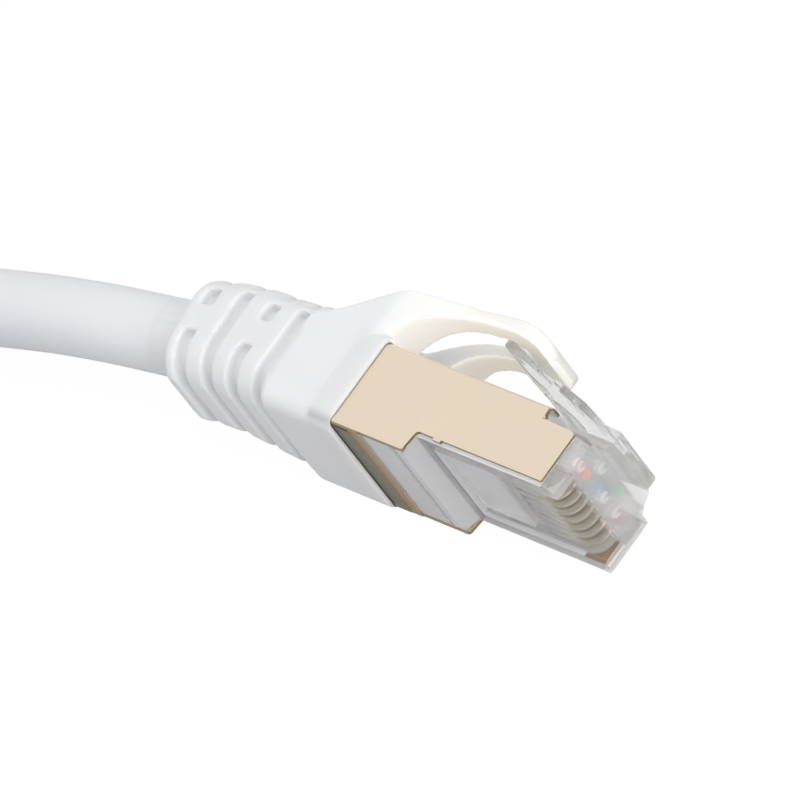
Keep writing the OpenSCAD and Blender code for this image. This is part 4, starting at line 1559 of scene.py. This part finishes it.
@dataclass
class Studio:
    """Pale floor, soft lamps, plain world and the camera."""

    right: Point = (0.6929, 0.5696, -0.4421)
    up: Point = (-0.2791, 0.7772, 0.5640)
    back: Point = (0.6648, -0.2674, 0.6975)
    eye: Point = (523.79, -211.27, 555.41)
    lens: float = 468.2
    world_level: float = 0.7
    floor_half: float = 4.0
    lamps: Sequence[tuple[str, Point, Point, float, float]] = (
        ("lamp_above", (0.25, 0.10, 0.9), (0.0, -0.02, 0.0), 0.9, 2.5),
        ("lamp_nose", (0.95, -0.2, 0.35), (0.0, -0.02, 0.0), 0.7, 3.6))

    def camera(self) -> None:
        """Sets the camera."""
        lens = bpy.data.cameras.new("camera")
        lens.lens = self.lens
        lens.sensor_width = 36.0
        lens.clip_start = 0.01
        lens.clip_end = 20.0
        camera = bpy.data.objects.new("camera", lens)
        axes = [Vector(v).normalized() for v in (self.right, self.up, self.back)]
        rows = [(axes[0][i], axes[1][i], axes[2][i], self.eye[i] * MM) for i in range(3)]
        camera.matrix_world = Matrix([*rows, (0, 0, 0, 1)])
        bpy.context.scene.collection.objects.link(camera)
        bpy.context.scene.camera = camera

    def floor(self) -> None:
        """Lays the floor."""
        mesh = bpy.data.meshes.new("floor")
        s = self.floor_half
        mesh.from_pydata([(-s, -s, 0), (s, -s, 0), (s, s, 0), (-s, s, 0)], [], [(0, 1, 2, 3)])
        floor = bpy.data.objects.new("floor", mesh)
        mesh.materials.append(PaleFloor().build())
        bpy.context.scene.collection.objects.link(floor)

    def light(self) -> None:
        """Hangs the lamps and sets the world."""
        for name, place, target, size, power in self.lamps:
            lamp = bpy.data.lights.new(name, "AREA")
            lamp.shape = "DISK"
            lamp.size = size
            lamp.energy = power
            obj = bpy.data.objects.new(name, lamp)
            obj.location = place
            obj.visible_glossy = False
            aim = Vector(target) - Vector(place)
            obj.rotation_euler = aim.to_track_quat("-Z", "Y").to_euler()
            bpy.context.scene.collection.objects.link(obj)
        world = bpy.data.worlds.new("plain_room")
        bpy.context.scene.world = world
        world.use_nodes = True
        b = NodeBench(world.node_tree)
        camera, mirror, clear = b.rays()
        white = b.combine("MAXIMUM", b.combine("MAXIMUM", camera, mirror), clear)
        level = b.node("ShaderNodeMapRange", {}, {"Value": white, "To Min": self.world_level, "To Max": 1.0})
        sky = b.node("ShaderNodeBackground", {}, {"Color": (1.0, 1.0, 1.0), "Strength": level})
        b.end("ShaderNodeOutputWorld", sky)
        bpy.context.scene.view_settings.view_transform = "Standard"


WIRES = (
    WireCode(1, "white_orange", (0.80, 0.74, 0.70), (0.80, 0.22, 0.10), (-1.53, -0.04)),
    WireCode(2, "orange", (0.85, 0.10, 0.08), (0.85, 0.10, 0.08), (-0.51, 0.23)),
    WireCode(3, "white_green", (0.76, 0.80, 0.76), (0.08, 0.45, 0.20), (-0.90, 1.24)),
    WireCode(4, "blue", (0.01, 0.25, 0.48), (0.01, 0.25, 0.48), (-0.67, -1.27)),
    WireCode(5, "white_blue", (0.75, 0.78, 0.82), (0.06, 0.25, 0.55), (0.67, -1.27)),
    WireCode(6, "green", (0.01, 0.45, 0.20), (0.01, 0.45, 0.20), (0.90, 1.24)),
    WireCode(7, "white_brown", (0.78, 0.74, 0.70), (0.30, 0.12, 0.06), (0.51, 0.23)),
    WireCode(8, "brown", (0.33, 0.12, 0.07), (0.33, 0.12, 0.07), (1.53, -0.04)),
)


def main() -> None:
    """Builds the whole scene in order."""
    logging.basicConfig(level=logging.INFO, format="%(message)s")
    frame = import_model()
    studio = Studio()
    studio.camera()
    berths = (Berth("a", 8.0), Berth("b", 0.0))
    jacket = JacketVinyl().build()
    cord_class = PatchCord(jacket, berths)
    cord, length = cord_class.build()
    log.info("cord %.1f mm", length / MM)
    studio.floor()
    studio.light()

    # The second white is the same moulding with a painted glow (emission) for the light that comes through
    # the strap.
    whites = [MouldedWhite().build(), MouldedWhite("guard_lit_underside", 0.22).build()]
    clear = [ClearPlastic("housing_clear_plastic", (1.0, 0.99, 0.985), 0.05, 0.3, 0.7, 1.28).build(),
             ClearPlastic("housing_frosted_heel", (0.98, 0.985, 1.0), 0.16, 0.68, 0.88).build(),
             ClearPlastic("housing_comb_frost", (0.97, 0.94, 0.88), 0.2, 0.3, 0.6).build(),
             # Dark brown clear plastic: a painted reflection of the gold sheet seen through the housing.
             ClearPlastic("housing_end_wall", (0.30, 0.20, 0.13), 0.3, 0.8, 1.0).build()]
    latch = [ClearPlastic("latch_clear_plastic", (0.95, 0.955, 0.945), 0.06, 0.16, 0.8).build(),
             # A greyer copy of the latch plastic: painted shade on the arm.
             ClearPlastic("latch_arm_plastic", (0.78, 0.785, 0.78), 0.06, 0.12, 0.96).build()]
    milky = ClearPlastic("load_bar_milky_plastic", (0.93, 0.93, 0.92), 0.2, 0.2, 0.5).build()
    gold = [GoldPlate("gold_shield_sheet").build(),
            # Dark brown gold: a painted reflection of dark surroundings on the sheet's edges and lip.
            GoldPlate("gold_shield_cut_edge", (0.36, 0.27, 0.17), 0.35).build(),
            # Nearly black gold: a painted reflection of dark surroundings on the band by the boot.
            GoldPlate("gold_shield_band", (0.13, 0.125, 0.085), 0.3).build()]
    blades = GoldPlate("gold_contact_blades", (0.90, 0.82, 0.66), 0.25).build()
    braid = TinnedBraid().build()
    copper = BareCopper().build()
    tie_paint = TiePlastic().build()
    paints = {}
    for code in WIRES:
        paints[code.name] = Insulation(code.name + "_insulation_main", code.main).build()
        paints[code.name + "_stripe"] = Insulation(code.name + "_insulation_stripe", code.stripe).build()
    for berth in berths:
        pieces = [Boot(berth, whites, jacket).build()]
        log.info("boot %s", berth.tag)
        pieces.append(Latch(berth, latch).build())
        log.info("latch %s", berth.tag)
        pieces += [Shield(berth, gold).build(), Housing(berth, clear).build(),
                   Contacts(berth, blades).build()]
        log.info("shield, housing and contacts %s", berth.tag)
        pieces += Wires(berth, paints, copper, WIRES).build()
        log.info("wires %s", berth.tag)
        carried = CarriedNodes(berth, frame["nodes"], {
            "load_bar": (milky, 0.05), "jacket_end": (jacket, 0.0), "braid_cuff": (braid, 0.05)}).build()
        log.info("carried nodes of %s: %s", berth.tag, ", ".join(carried))
    ties = [CoilTie(cord_class, tie_paint, "coil_tie_left", 180.0, (0.2, 2.12)).build(),
            CoilTie(cord_class, tie_paint, "coil_tie_right", 0.0, (0.7, 1.76)).build()]
    log.info("ties")
    cord_class.outlet(berths[0]) * MM
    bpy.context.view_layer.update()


if __name__ == "__main__":
    main()
